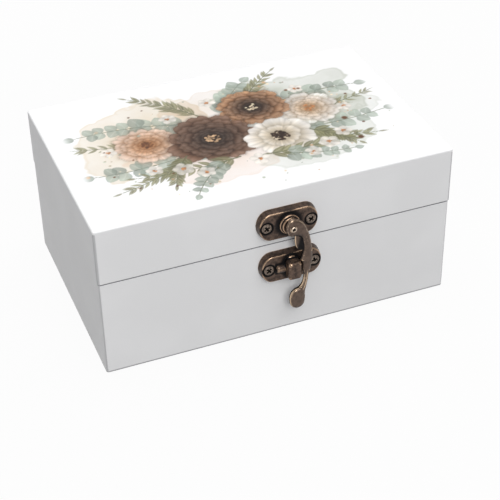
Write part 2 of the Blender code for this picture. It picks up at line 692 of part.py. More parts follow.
def build_catch(shop, wall):
    """Plate on the base, with an oval boss, two ribs and the post that the hook closes on."""
    mesh = latch_plate_mesh("catch_plate", CATCH_PLATE_WIDTH)
    plate = shop.add_piece("catch_plate", mesh, ANTIQUE_BRONZE, CATCH_PLACE, FACING_FRONT)
    screw_out = CATCH_PLATE_WIDTH / 2 - PLATE_SCREW_INSET
    rib_end = screw_out - LATCH_SCREW_HEAD_RADIUS - RIB_SCREW_GAP
    rib = rod_mesh("catch_rib", RIB_RADIUS, -rib_end, rib_end)
    x, y, z = CATCH_PLACE
    rib_place = (x, y - PLATE_THICKNESS - RIB_RISE + RIB_RADIUS, z - PLATE_DROP)
    combine(plate, shop.add_cutter("catch_rib", rib, rib_place, (0, math.pi / 2, 0)), "UNION")
    boss = raised_round_mesh(
        "catch_boss", BOSS_HEIGHT / 2, PLATE_THICKNESS + BOSS_RISE, BOSS_EDGE_RADIUS, 0
    )
    boss.transform(Matrix.Diagonal((BOSS_WIDTH / BOSS_HEIGHT, 1, 1, 1)))
    combine(plate, shop.add_cutter("catch_boss", boss, POST_PLACE, FACING_FRONT), "UNION")
    post_top = PLATE_THICKNESS + POST_RISE - PLATE_THICKNESS / 2
    post = rectangle_mesh("catch_post", POST_WIDTH, POST_HEIGHT, post_top, POST_CORNER_RADIUS)
    round_edges(post, rim_at(post_top), POST_EDGE_RADIUS)
    root = (POST_PLACE[0], POST_PLACE[1] - PLATE_THICKNESS / 2, POST_PLACE[2])
    combine(plate, shop.add_cutter("catch_post", post, root, FACING_FRONT), "UNION")
    add_latch_screws(shop, "catch", plate, CATCH_PLACE, CATCH_PLATE_WIDTH, wall, None)


def leaf_mesh(name, up):
    """A hinge leaf seen from its end: a strip rolled round the pin, extruded along the hinge.

    up is 1 for the lid's leaf, which rises from the pin, and -1 for the base's.
    """
    steps = round(KNUCKLE_CURL / KNUCKLE_STEP)
    outer = arc((0, 0), KNUCKLE_RADIUS, math.pi, -KNUCKLE_CURL, steps)
    bore = arc((0, 0), KNUCKLE_BORE, math.pi - KNUCKLE_CURL, KNUCKLE_CURL, steps)
    strip = [(-KNUCKLE_RADIUS, -LEAF_HEIGHT), *outer, *bore, (-KNUCKLE_BORE, -LEAF_HEIGHT)]
    mesh = curve_mesh(name, [(x, -up * y) for x, y in strip], LEAF_LENGTH)

    def free_corner(first, second):
        at_end = max(abs(abs(p.y) - LEAF_HEIGHT) for p in (first, second)) < MERGE_DISTANCE
        return at_end and abs(first.z - second.z) < MERGE_DISTANCE

    round_edges(mesh, free_corner, LEAF_CORNER_RADIUS)
    return mesh


def knuckle_cuts(up):
    """Cutter for the knuckles that belong to the other leaf."""
    pitch = LEAF_LENGTH / KNUCKLE_COUNT
    across = KNUCKLE_RADIUS + CUT_OVERRUN
    towards_leaf = KNUCKLE_RADIUS + KNUCKLE_GAP
    low_y, high_y = (-across, towards_leaf) if up == 1 else (-towards_leaf, across)
    shape = bmesh.new()
    for number in range(KNUCKLE_COUNT):
        belongs_to_lid = number % 2 == 1
        if belongs_to_lid == (up == 1):
            continue
        start = number * pitch - (KNUCKLE_GAP if number else CUT_OVERRUN)
        end = (number + 1) * pitch + (KNUCKLE_GAP if number < KNUCKLE_COUNT - 1 else CUT_OVERRUN)
        block = box_mesh("knuckle_cut", (-across, low_y, start), (across, high_y, end))
        shape.from_mesh(block)
        bpy.data.meshes.remove(block)
    mesh = bpy.data.meshes.new("knuckle_cuts")
    shape.to_mesh(mesh)
    shape.free()
    return mesh


def build_hinge(shop, side, middle_x, base_wall, lid_wall):
    """One butt hinge: two leaves, their pin and four screws."""
    x, y, z = HINGE_AXIS
    start = (middle_x - LEAF_LENGTH / 2, y, z)
    half_pin = LEAF_LENGTH / 2 + HINGE_PIN_STICK_OUT
    pin = rod_mesh(f"{side}_hinge_pin", HINGE_PIN_RADIUS, -half_pin, half_pin)
    for height in (-half_pin, half_pin):
        round_edges(pin, rim_at(height), HINGE_PIN_EDGE_RADIUS, steps=EASE_STEPS)
    shop.add_piece(f"{side}_hinge_pin", pin, ANTIQUE_BRONZE, (middle_x, y, z), (0, math.pi / 2, 0))
    face = BACK + SEAT_GAP + LEAF_THICKNESS
    leaf_hole = rod_mesh(
        "leaf_hole", HINGE_SCREW_RADIUS + HOLE_CLEARANCE, -HINGE_SCREW_LENGTH, CUT_OVERRUN
    )
    screw = round_head_screw_mesh()
    for part, up, wall, parent in (("base", -1, base_wall, None), ("lid", 1, lid_wall, shop.lid_axis)):
        name = f"{side}_hinge_{part}_leaf"
        mesh = leaf_mesh(name, up)
        leaf = shop.add_piece(name, mesh, ANTIQUE_BRONZE, start, FACING_SIDE, parent)
        cuts = shop.add_cutter(f"{name}_cuts", knuckle_cuts(up), start, FACING_SIDE)
        combine(leaf, cuts, "DIFFERENCE")
        for place_name, sign in (("left", -1), ("right", 1)):
            out = LEAF_LENGTH / 2 - HINGE_SCREW_INSET
            spot = (middle_x + sign * out, face, z + up * HINGE_SCREW_DROP)
            seat = (spot[0], spot[1] + SEAT_GAP / 2, spot[2])
            hole = shop.add_cutter(f"{name}_{place_name}_hole", leaf_hole, spot, FACING_BACK)
            combine(leaf, hole, "DIFFERENCE")
            combine(wall, hole, "DIFFERENCE")
            screw_name = f"{side}_hinge_{part}_{place_name}_screw"
            shop.add_piece(screw_name, screw, SCREW_BRONZE, seat, FACING_BACK, parent)


def main():
    clear_scene()
    shop = Workshop()
    base_walls = build_base(shop)
    lid_walls = build_lid(shop)
    build_hook_plate(shop, lid_walls["front"])
    build_rivet(shop)
    build_hook(shop)
    build_catch(shop, base_walls["front"])
    for side, sign in (("left", -1), ("right", 1)):
        build_hinge(shop, side, sign * HINGE_SPACING / 2, base_walls["back"], lid_walls["back"])


main()
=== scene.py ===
"""Looks of a wooden keepsake box with a horn latch.

The boards are painted white outside and left bare inside, the lid carries a watercolour flower
print, and the latch, hinges and screws are antique bronze, worn bright along their edges. Sizes
are in metres in the frame of the CAD model: +Z is up and the front faces -Y.
"""
import logging
import math
from dataclasses import dataclass, field
from enum import Enum
from typing import Callable, Iterable, Sequence

import bmesh
import bpy
import numpy as np
from mathutils import Euler, Matrix, Vector


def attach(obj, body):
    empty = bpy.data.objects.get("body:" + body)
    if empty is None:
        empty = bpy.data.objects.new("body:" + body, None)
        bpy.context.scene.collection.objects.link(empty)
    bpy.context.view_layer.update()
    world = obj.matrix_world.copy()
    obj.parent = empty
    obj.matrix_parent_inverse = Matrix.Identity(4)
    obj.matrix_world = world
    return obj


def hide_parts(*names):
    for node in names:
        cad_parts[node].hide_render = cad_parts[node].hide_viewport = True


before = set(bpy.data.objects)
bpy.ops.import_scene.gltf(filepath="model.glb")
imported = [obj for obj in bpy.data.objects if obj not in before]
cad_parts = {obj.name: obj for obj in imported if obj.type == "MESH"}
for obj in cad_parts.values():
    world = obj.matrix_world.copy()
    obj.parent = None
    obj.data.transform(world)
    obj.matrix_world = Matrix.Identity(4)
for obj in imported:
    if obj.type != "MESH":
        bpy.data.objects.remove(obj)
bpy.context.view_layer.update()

log = logging.getLogger("keepsake_box")

MM = 0.001
QUARTER = math.pi / 2
MERGE_DISTANCE = 1e-6
SMOOTH_ANGLE = math.radians(35)
FLAT_ANGLE = math.radians(50)
SHARP_BEND = 0.5
OVERRUN = 1 * MM
CELLS = 256
POINTS_AT_ONCE = 4000

Colour = tuple[float, float, float]
Point = tuple[float, float]
Place = tuple[float, float, float]
Socket = bpy.types.NodeSocket
Node = bpy.types.Node
NodeTree = bpy.types.NodeTree
Material = bpy.types.Material
Mesh = bpy.types.Mesh
Shape = bmesh.types.BMesh
Edge = bmesh.types.BMEdge
Array = np.ndarray


# Node trees


class Graph:
    """Writes a node tree one node at a time."""

    def __init__(self, tree: NodeTree) -> None:
        """Work on a tree, and keep what it already holds."""
        self.tree = tree

    def add(self, kind: str, inputs: dict | None = None, **settings: object) -> Node:
        """Add a node.

        Args:
            kind: The node's type, without its leading ShaderNode.
            inputs: Values or sockets for its inputs, by name or number.
            settings: The node's own properties.

        Returns:
            The new node.
        """
        node = self.tree.nodes.new(f"ShaderNode{kind}")
        for key, value in settings.items():
            setattr(node, key, value)
        for key, value in (inputs or {}).items():
            if isinstance(value, Socket):
                self.tree.links.new(value, node.inputs[key])
            elif isinstance(value, tuple) and len(value) == 3 and node.inputs[key].type == "RGBA":
                node.inputs[key].default_value = (*value, 1)
            else:
                node.inputs[key].default_value = value
        return node

    def math(self, operation: str, *values: object) -> Socket:
        """Result of a Math node on the values."""
        return self.add("Math", dict(enumerate(values)), operation=operation).outputs[0]

    def times(self, first: object, second: object) -> Socket:
        """Product of two values."""
        return self.math("MULTIPLY", first, second)

    def rest(self, share: Socket) -> Socket:
        """What is left of 1 beside a share."""
        return self.math("SUBTRACT", 1, share)

    def noise(self, vector: object, scale: object, detail: float = 3, distortion: float = 0) -> Socket:
        """Value of a noise, 0 to 1, with this many features to a metre."""
        inputs = {"Vector": vector, "Scale": scale, "Detail": detail, "Distortion": distortion}
        return self.add("TexNoise", inputs).outputs["Fac"]

    def step(self, value: object, low: object, high: object) -> Socket:
        """A soft step from 0 at low to 1 at high."""
        inputs = {"Value": value, "From Min": low, "From Max": high}
        return self.add("MapRange", inputs, interpolation_type="SMOOTHSTEP").outputs[0]

    def mix(self, factor: object, first: object, second: object, kind: str = "MIX") -> Socket:
        """Colour between two, or one blended on the other."""
        inputs = {0: factor, 6: first, 7: second}
        return self.add("Mix", inputs, data_type="RGBA", blend_type=kind).outputs[2]

    def group(self, tree: NodeTree, inputs: dict) -> Node:
        """Place a shared group with its own values."""
        return self.add("Group", inputs, node_tree=tree)

    def speckle(self, tree: NodeTree, place: object, scale: float, band: Point) -> Socket:
        """Mask of the shared speckle group, with its own size and band of noise values."""
        values = {"Vector": place, "Scale": scale, "Low": band[0], "High": band[1]}
        return self.group(tree, values).outputs["Mask"]

    def mark(self, name: str, output: str = "Fac") -> Socket:
        """A value or colour that the mesh carries at its points."""
        return self.add("Attribute", attribute_name=name).outputs[output]

    def stretched(self, place: object, scale: Place) -> Socket:
        """Places scaled by axis, for a pattern that is drawn out along the smallest."""
        return self.add("Mapping", {"Vector": place, "Scale": scale}).outputs[0]

    def bump(self, height: object, strength: float, distance: float) -> Socket:
        """Normal of a surface with this relief."""
        return self.add("Bump", {"Strength": strength, "Distance": distance, "Height": height}).outputs[0]

    def feed(self, node: Node, sources: dict[str, Socket]) -> None:
        """Link sockets to a node's inputs, by name."""
        for name, source in sources.items():
            self.tree.links.new(source, node.inputs[name])


def linear(red: int, green: int, blue: int) -> Colour:
    """Linear colour of one that is given as it looks on a screen, 0 to 255."""
    return tuple(to_linear(np.array([red, green, blue]) / 255).tolist())


def to_linear(screen: Array) -> Array:
    """Linear values of screen values from 0 to 1."""
    return np.where(screen <= 0.04045, screen / 12.92, ((screen + 0.055) / 1.055) ** 2.4)


def new_group(name: str, inputs: dict[str, object], outputs: dict[str, str]) -> tuple[Graph, Node, Node]:
    """Start a shared node group.

    Args:
        name: The group's name.
        inputs: Its input sockets, each with a value that shows the socket's type.
        outputs: Its output sockets, each with its socket type.

    Returns:
        The graph to write in, the group's input node and its output node.
    """
    tree = bpy.data.node_groups.new(name, "ShaderNodeTree")
    for label, value in inputs.items():
        kind = "NodeSocketFloat"
        if value is None:
            kind = "NodeSocketVector"
        elif isinstance(value, tuple):
            kind = "NodeSocketColor"
        socket = tree.interface.new_socket(name=label, in_out="INPUT", socket_type=kind)
        if value is not None:
            socket.default_value = (*value, 1) if isinstance(value, tuple) else value
    for label, kind in outputs.items():
        tree.interface.new_socket(name=label, in_out="OUTPUT", socket_type=kind)
    graph = Graph(tree)
    return graph, tree.nodes.new("NodeGroupInput"), tree.nodes.new("NodeGroupOutput")


def make_speckle_group() -> NodeTree:
    """Group for fine uneven patches, as in paint and on plated metal.

    Returns:
        A group with the output Mask, 0 to 1.
    """
    graph, given, result = new_group(
        "speckle", {"Vector": None, "Scale": 500.0, "Low": 0.4, "High": 0.6}, {"Mask": "NodeSocketFloat"}
    )
    patches = graph.noise(given.outputs["Vector"], given.outputs["Scale"], detail=4)
    mask = graph.step(patches, given.outputs["Low"], given.outputs["High"])
    graph.feed(result, {"Mask": mask})
    return graph.tree


def make_wear_group() -> NodeTree:
    """Group that reads the edge marks, for wear, and the hollow marks, for painted shade, of a metal piece,
    and breaks them up.

    Returns:
        A group with the outputs Edge and Hollow, each 0 to 1.
    """
    graph, given, result = new_group(
        "wear",
        {"Vector": None, "Scale": 900.0, "Reach": 0.35, "Uneven": 0.5},
        {"Edge": "NodeSocketFloat", "Hollow": "NodeSocketFloat"},
    )
    patches = graph.noise(given.outputs["Vector"], given.outputs["Scale"], detail=4)
    shift = graph.times(graph.math("SUBTRACT", patches, 0.5), given.outputs["Uneven"])
    uneven_edge = graph.math("ADD", graph.mark("edge"), shift)
    low, high = (graph.math("ADD", given.outputs["Reach"], blur) for blur in (-0.2, 0.25))
    worn = graph.step(uneven_edge, low, high)
    uneven_hollow = graph.math("ADD", graph.mark("hollow"), graph.times(shift, 0.4))
    deep = graph.step(uneven_hollow, 0.05, 0.75)
    graph.feed(result, {"Edge": worn, "Hollow": deep})
    return graph.tree


def make_grain_group() -> NodeTree:
    """Group for planed wood whose grain runs along its own X.

    Returns:
        A group with the outputs Color and Height.
    """
    graph, given, result = new_group(
        "wood_grain",
        {"Vector": None, "Light": (0.8, 0.6, 0.4), "Dark": (0.6, 0.4, 0.2), "Fineness": 1.0},
        {"Color": "NodeSocketColor", "Height": "NodeSocketFloat"},
    )
    place, fineness = given.outputs["Vector"], given.outputs["Fineness"]
    bands = graph.noise(graph.stretched(place, (7, 95, 95)), fineness, detail=4, distortion=0.7)
    fibres = graph.noise(graph.stretched(place, (60, 1500, 1500)), fineness, detail=2)
    bands = graph.step(bands, 0.35, 0.68)
    pores = graph.step(fibres, 0.52, 0.72)
    colour = graph.mix(bands, given.outputs["Light"], given.outputs["Dark"])
    shade = graph.times(pores, 0.35)
    colour = graph.mix(shade, colour, given.outputs["Dark"], kind="MULTIPLY")
    graph.feed(result, {"Color": colour, "Height": graph.rest(pores)})
    return graph.tree


def new_material(name: str) -> tuple[Material, Graph, Node, Socket]:
    """A material, its graph, its Principled shader and its Object coordinates."""
    material = bpy.data.materials.new(name)
    material.use_nodes = True
    graph = Graph(material.node_tree)
    place = graph.add("TexCoord").outputs["Object"]
    return material, graph, graph.tree.nodes["Principled BSDF"], place


# Finishes


@dataclass(frozen=True)
class SharedEffects:
    """Node groups that more than one material uses."""

    speckle: NodeTree = field(default_factory=make_speckle_group)
    wear: NodeTree = field(default_factory=make_wear_group)
    grain: NodeTree = field(default_factory=make_grain_group)


@dataclass(frozen=True)
class BareWood:
    """Planed pale wood, as inside the box and on its bottom panel."""

    name: str
    light: Colour = linear(226, 199, 158)
    dark: Colour = linear(198, 163, 118)
    fineness: float = 1.0
    across: bool = False
    roughness: float = 0.62
    roughness_spread: float = 0.12
    patch_scale: float = 260.0
    patch_band: Point = (0.3, 0.7)
    relief: float = 0.05 * MM
    relief_strength: float = 0.35

    def colour_and_height(
        self, graph: Graph, effects: SharedEffects, place: Socket
    ) -> tuple[Socket, Socket]:
        """Sockets for the wood's colour and relief at a place."""
        if self.across:
            place = graph.add("Mapping", {"Vector": place, "Rotation": (0, 0, QUARTER)}).outputs[0]
        values = {"Vector": place, "Light": self.light, "Dark": self.dark, "Fineness": self.fineness}
        wood = graph.group(effects.grain, values)
        return wood.outputs["Color"], wood.outputs["Height"]

    def material(self, effects: SharedEffects) -> Material:
        """Material of a piece that is bare all over."""
        material, graph, shader, place = new_material(self.name)
        colour, height = self.colour_and_height(graph, effects, place)
        patches = graph.speckle(effects.speckle, place, self.patch_scale, self.patch_band)
        smoothest = self.roughness - self.roughness_spread / 2
        rough = graph.math("MULTIPLY_ADD", patches, self.roughness_spread, smoothest)
        normal = graph.bump(height, self.relief_strength, self.relief)
        graph.feed(shader, {"Base Color": colour, "Roughness": rough, "Normal": normal})
        return material


@dataclass(frozen=True)
class WhitePaint:
    """Rolled white paint on the outside of a board, which stops just inside the rim."""

    name: str
    inside: BareWood
    colour: Colour = linear(240, 240, 241)
    shade: Colour = linear(236, 236, 237)
    # Colour of the painted shade along the seam, the foot and the upright corners.
    painted_shade_colour: Colour = linear(118, 118, 124)
    roughness: float = 0.4
    roughness_spread: float = 0.07
    wood_roughness: float = 0.2
    tone_scale: float = 28.0
    tone_band: Point = (0.35, 0.65)
    texture_scale: float = 850.0
    grain_stretch: Place = (40, 420, 420)
    grain_share: float = 0.6
    sheen_scale: float = 420.0
    sheen_band: Point = (0.3, 0.7)
    relief: float = 0.03 * MM
    relief_strength: float = 0.22
    inside_x: float = 73.6 * MM
    inside_y: float = 46.1 * MM
    inside_top: float = 70.5 * MM
    brushed_scale: float = 240.0
    brushed_width: float = 0.9 * MM
    brushed_band: Point = (-0.05 * MM, 0.1 * MM)
    # Painted shade: a dark line along the seam's outer edges, fainter lines along the foot and down the
    # upright corners.
    seam_height: float = 46.4 * MM
    seam_band: Point = (0.22 * MM, 0.5 * MM)
    seam_painted_shade: float = 0.95
    foot_band: Point = (0.55 * MM, 1.1 * MM)
    foot_painted_shade: float = 0.75
    corner_x: float = 79.0 * MM
    corner_y: float = 51.5 * MM
    corner_top: float = 71.5 * MM
    corner_band: Point = (0.1 * MM, 0.6 * MM)
    corner_painted_shade: float = 0.5
    outer_band: Point = (0.45 * MM, 0.65 * MM)
    printed: bool = False

    def material(self, effects: SharedEffects) -> Material:
        """Material with the paint outside, bare wood inside, the print, if there is one, and painted shade
        along the seam, the foot and the upright corners.
        """
        material, graph, shader, place = new_material(self.name)
        broad = graph.noise(place, self.tone_scale, detail=2)
        paint = graph.mix(graph.step(broad, *self.tone_band), self.colour, self.shade)
        texture = graph.noise(place, self.texture_scale)
        grain = graph.noise(graph.stretched(place, self.grain_stretch), 1.0, detail=2)
        relief = graph.math("MULTIPLY_ADD", grain, self.grain_share, texture)
        if self.printed:
            paint = graph.mix(1.0, paint, graph.mark("ink", "Color"), kind="MULTIPLY")
        # Painted shade along the seam, the foot and the upright corners, mixed over the paint.
        paint = graph.mix(self.painted_shade_mask(graph, place), paint, self.painted_shade_colour)
        wood, wood_height = self.inside.colour_and_height(graph, effects, place)
        mask = self.inside_mask(graph, place)
        colour = graph.mix(mask, paint, wood)
        sheen = graph.speckle(effects.speckle, place, self.sheen_scale, self.sheen_band)
        rough = graph.math("MULTIPLY_ADD", sheen, self.roughness_spread, self.roughness)
        rough = graph.math("ADD", rough, graph.times(mask, self.wood_roughness))
        height = graph.times(relief, graph.rest(mask))
        height = graph.math("MULTIPLY_ADD", wood_height, mask, height)
        normal = graph.bump(height, self.relief_strength, self.relief)
        graph.feed(shader, {"Base Color": colour, "Roughness": rough, "Normal": normal})
        return material

    def past(self, graph: Graph, parts: Node, x: float, y: float) -> list[Socket]:
        """How far a place lies past two distances from the middle, across and along."""
        return [
            graph.math("SUBTRACT", graph.math("ABSOLUTE", parts.outputs[axis]), limit)
            for axis, limit in enumerate((x, y))
        ]

    def painted_shade_mask(self, graph: Graph, place: Socket) -> Socket:
        """Painted shade, strongest at the seam's outer edges, fainter along the foot and the upright corners.
        """
        parts = graph.add("SeparateXYZ", {0: place})
        height = parts.outputs[2]
        from_seam = graph.math("ABSOLUTE", graph.math("SUBTRACT", height, self.seam_height))
        seam = graph.rest(graph.step(from_seam, *self.seam_band))
        seam = graph.times(seam, self.seam_painted_shade)
        foot = graph.rest(graph.step(height, *self.foot_band))
        foot = graph.times(foot, self.foot_painted_shade)
        past = self.past(graph, parts, self.corner_x, self.corner_y)
        corner = graph.step(graph.math("MINIMUM", *past), *self.corner_band)
        corner = graph.times(corner, graph.math("LESS_THAN", height, self.corner_top))
        corner = graph.times(corner, self.corner_painted_shade)
        outer = graph.step(graph.math("MAXIMUM", *past), *self.outer_band)
        level = graph.times(graph.math("MAXIMUM", seam, foot), outer)
        return graph.math("MAXIMUM", level, corner)

    def inside_mask(self, graph: Graph, place: Socket) -> Socket:
        """1 inside the box, 0 outside, with an uneven brushed border on the rim."""
        parts = graph.add("SeparateXYZ", {0: place})
        over = graph.math("MAXIMUM", *self.past(graph, parts, self.inside_x, self.inside_y))
        uneven = graph.math("SUBTRACT", graph.noise(place, self.brushed_scale), 0.5)
        over = graph.math("MULTIPLY_ADD", uneven, self.brushed_width, over)
        inside = graph.rest(graph.step(over, *self.brushed_band))
        below_top = graph.math("LESS_THAN", parts.outputs[2], self.inside_top)
        return graph.times(inside, below_top)


@dataclass(frozen=True)
class AntiqueBronze:
    """Dark plating that is rubbed back to warm metal along the edges."""

    name: str
    dark: Colour = linear(13, 11, 13)
    body: Colour = linear(97, 79, 68)
    worn: Colour = linear(174, 146, 122)
    roughness: float = 0.32
    roughness_spread: float = 0.14
    worn_smoothing: float = 0.1
    hollow_roughness: float = 0.2
    plated_metallic: float = 0.7
    worn_metallic: float = 0.25
    # Strength of the dark patches and the grime.
    tarnish_and_shade: float = 0.6
    patch_scale: float = 520.0
    patch_band: Point = (0.36, 0.66)
    grime_fineness: float = 3.0
    grime_band: Point = (0.45, 0.7)
    wear_scale: float = 1100.0
    wear_unevenness: float = 0.55
    reach: float = 0.5
    # Painted shade on faces that point down, and how much it holds their worn edges dark.
    under_shade: float = 0.75
    under_edge_shade: float = -0.7
    pit_scale: float = 1900.0
    lump_scale: float = 420.0
    lump_share: float = 1.6
    relief: float = 0.05 * MM
    relief_strength: float = 0.4

    def material(self, effects: SharedEffects) -> Material:
        """Material of a plated piece that carries edge and hollow marks."""
        material, graph, shader, place = new_material(self.name)
        values = {"Scale": self.wear_scale, "Reach": self.reach, "Uneven": self.wear_unevenness}
        wear = graph.group(effects.wear, {"Vector": place, **values})
        edge, hollow = wear.outputs["Edge"], wear.outputs["Hollow"]
        patches = graph.speckle(effects.speckle, place, self.patch_scale, self.patch_band)
        grime_scale = self.patch_scale * self.grime_fineness
        grime = graph.speckle(effects.speckle, place, grime_scale, self.grime_band)
        # Painted shade on faces that point down, from the mark that add_piece writes.
        under = graph.mark("under")
        colour = graph.mix(graph.times(patches, self.tarnish_and_shade), self.body, self.dark)
        grime = graph.times(grime, self.tarnish_and_shade / 2)
        # Darkened by the hollow marks (painted shade in recesses and beside raised parts, along with patina
        # in the hollows), by fine grime and by painted shade on faces that point down.
        for share in (hollow, grime, graph.times(under, self.under_shade)):
            colour = graph.mix(share, colour, self.dark)
        # Worn edges, held dark on faces that point down as painted shade.
        lit_edge = graph.times(edge, graph.math("MULTIPLY_ADD", under, self.under_edge_shade, 1))
        colour = graph.mix(lit_edge, colour, self.worn)
        metal = graph.math("MULTIPLY_ADD", edge, self.worn_metallic, self.plated_metallic)
        rough = graph.math("MULTIPLY_ADD", patches, self.roughness_spread, self.roughness)
        rough = graph.math("SUBTRACT", rough, graph.times(edge, self.worn_smoothing))
        rough = graph.math("ADD", rough, graph.times(hollow, self.hollow_roughness))
        pits = graph.noise(place, self.pit_scale)
        lumps = graph.noise(place, self.lump_scale, detail=2)
        height = graph.math("MULTIPLY_ADD", lumps, self.lump_share, pits)
        normal = graph.bump(height, self.relief_strength, self.relief)
        graph.feed(
            shader, {"Base Color": colour, "Metallic": metal, "Roughness": rough, "Normal": normal}
        )
        return material


@dataclass
class Palette:
    """The finished materials of the box."""

    effects: SharedEffects = field(default_factory=SharedEffects)
    inside_wood: BareWood = BareWood("inside_wood")
    side_wood: BareWood = BareWood("side_wood", across=True)
    plywood: BareWood = BareWood("plywood_panel", linear(221, 192, 148), linear(196, 160, 114), 0.8)

    def __post_init__(self) -> None:
        """Make each material once."""
        self.long_paint = WhitePaint("white_paint_long_boards", self.inside_wood).material(self.effects)
        self.short_paint = WhitePaint("white_paint_short_boards", self.side_wood).material(self.effects)
        self.top_paint = WhitePaint("printed_lid_top", self.inside_wood, printed=True).material(self.effects)
        self.panel = self.plywood.material(self.effects)
        self.bronze = AntiqueBronze("antique_bronze").material(self.effects)
        self.handled_bronze = AntiqueBronze(
            "handled_bronze", body=linear(100, 84, 74), worn=linear(206, 180, 152), tarnish_and_shade=0.25
        ).material(self.effects)
        self.hinge_bronze = AntiqueBronze(
            "hinge_bronze", body=linear(88, 70, 55), worn=linear(170, 136, 102), roughness=0.46
        ).material(self.effects)
        self.screw_bronze = AntiqueBronze(
            "screw_bronze", dark=linear(10, 8, 8), body=linear(142, 126, 114), worn=linear(206, 188, 170),
            roughness=0.34, patch_scale=1300.0, reach=0.6, relief=0.03 * MM,
        ).material(self.effects)


# Mesh work


def new_object(name: str, data: bpy.types.ID) -> bpy.types.Object:
    """A new object in the scene."""
    thing = bpy.data.objects.new(name, data)
    bpy.context.scene.collection.objects.link(thing)
    return thing


def evaluated_mesh(name: str, mesh: Mesh, dress: Callable[[bpy.types.Object], None]) -> Mesh:
    """Apply modifiers to a mesh.

    Args:
        name: Name of the result.
        mesh: The mesh to start from.
        dress: Adds the modifiers to an object that holds the mesh.

    Returns:
        A new mesh with the modifiers applied.
    """
    holder = new_object(name, mesh)
    dress(holder)
    bpy.context.view_layer.update()
    graph = bpy.context.evaluated_depsgraph_get()
    evaluated = holder.evaluated_get(graph)
    result = bpy.data.meshes.new_from_object(evaluated, preserve_all_data_layers=True, depsgraph=graph)
    result.name = name
    bpy.data.objects.remove(holder)
    return result


def mesh_of(shape: Shape, name: str) -> Mesh:
    """Mesh of a shape, with its faces turned outwards. The shape is used up."""
    bmesh.ops.remove_doubles(shape, verts=shape.verts, dist=MERGE_DISTANCE)
    bmesh.ops.recalc_face_normals(shape, faces=shape.faces)
    mesh = bpy.data.meshes.new(name)
    shape.to_mesh(mesh)
    shape.free()
    return mesh


def bevel(shape: Shape, edges: Iterable[Edge], radius: float, steps: int) -> None:
    """Round some edges of a shape."""
    bmesh.ops.bevel(
        shape, geom=list(edges), offset=radius, offset_type="OFFSET", segments=steps,
        profile=0.5, affect="EDGES", clamp_overlap=False, material=-1,
    )


def edges_where(shape: Shape, test: Callable[[Vector], bool]) -> list[Edge]:
    """Edges both of whose ends pass a test on their place."""
    return [edge for edge in shape.edges if all(test(vert.co) for vert in edge.verts)]


def near(value: float, target: float) -> bool:
    """Whether two lengths are the same to a hundredth of a millimetre."""
    return abs(value - target) < 0.01 * MM


def square_to(edge: Edge, axis: int) -> bool:
    """Whether an edge runs square to an axis, 0 for X to 2 for Z."""
    first, second = edge.verts
    return near(first.co[axis], second.co[axis])


def drag(shape: Shape, grown: Sequence[object], way: Place) -> None:
    """Move the points among what an extrusion has made."""
    moved = [item for item in grown if isinstance(item, bmesh.types.BMVert)]
    bmesh.ops.translate(shape, verts=moved, vec=way)


def block(low: Place, high: Place) -> Shape:
    """A box between two corners."""
    shape = bmesh.new()
    bmesh.ops.create_cube(shape, size=1)
    size = [b - a for a, b in zip(low, high)]
    middle = [(a + b) / 2 for a, b in zip(low, high)]
    bmesh.ops.scale(shape, verts=shape.verts, vec=size)
    bmesh.ops.translate(shape, verts=shape.verts, vec=middle)
    return shape


def rod(radius: float, low: float, high: float, steps: int = 48) -> Shape:
    """A round rod along Z."""
    shape = bmesh.new()
    bmesh.ops.create_cone(
        shape, cap_ends=True, segments=steps, radius1=radius, radius2=radius, depth=high - low
    )
    bmesh.ops.translate(shape, verts=shape.verts, vec=(0, 0, (low + high) / 2))
    return shape


def turned(profile: Sequence[Point], steps: int = 64) -> Shape:
    """A profile of (radius, height) points turned about Z."""
    shape = bmesh.new()
    verts = [shape.verts.new((radius, 0, height)) for radius, height in profile]
    edges = [shape.edges.new(pair) for pair in zip(verts, verts[1:])]
    bmesh.ops.spin(
        shape, geom=verts + edges, cent=(0, 0, 0), axis=(0, 0, 1), angle=math.tau,
        steps=steps, use_merge=True,
    )
    bmesh.ops.remove_doubles(shape, verts=shape.verts, dist=MERGE_DISTANCE)
    return shape


def arc(centre: Point, radius: float, start: float, sweep: float, steps: int) -> list[Point]:
    """Points along an arc, both ends included."""
    angles = [start + sweep * number / steps for number in range(steps + 1)]
    return [(centre[0] + radius * math.cos(a), centre[1] + radius * math.sin(a)) for a in angles]


def rounded(out: float, top: float, radius: float) -> list[Point]:
    """Points round the outer edge of a turned shape, from its top to its side."""
    return arc((out - radius, top - radius), radius, QUARTER, -QUARTER, 5)


def join(shape: Shape, other: Shape, matrix: Matrix | None = None) -> None:
    """Add another shape to a shape, moved by a matrix. The other is used up."""
    if matrix is not None:
        bmesh.ops.transform(other, matrix=matrix, verts=other.verts)
    bmesh.ops.recalc_face_normals(other, faces=other.faces)
    mesh = bpy.data.meshes.new("joined")
    other.to_mesh(mesh)
    other.free()
    shape.from_mesh(mesh)
    bpy.data.meshes.remove(mesh)


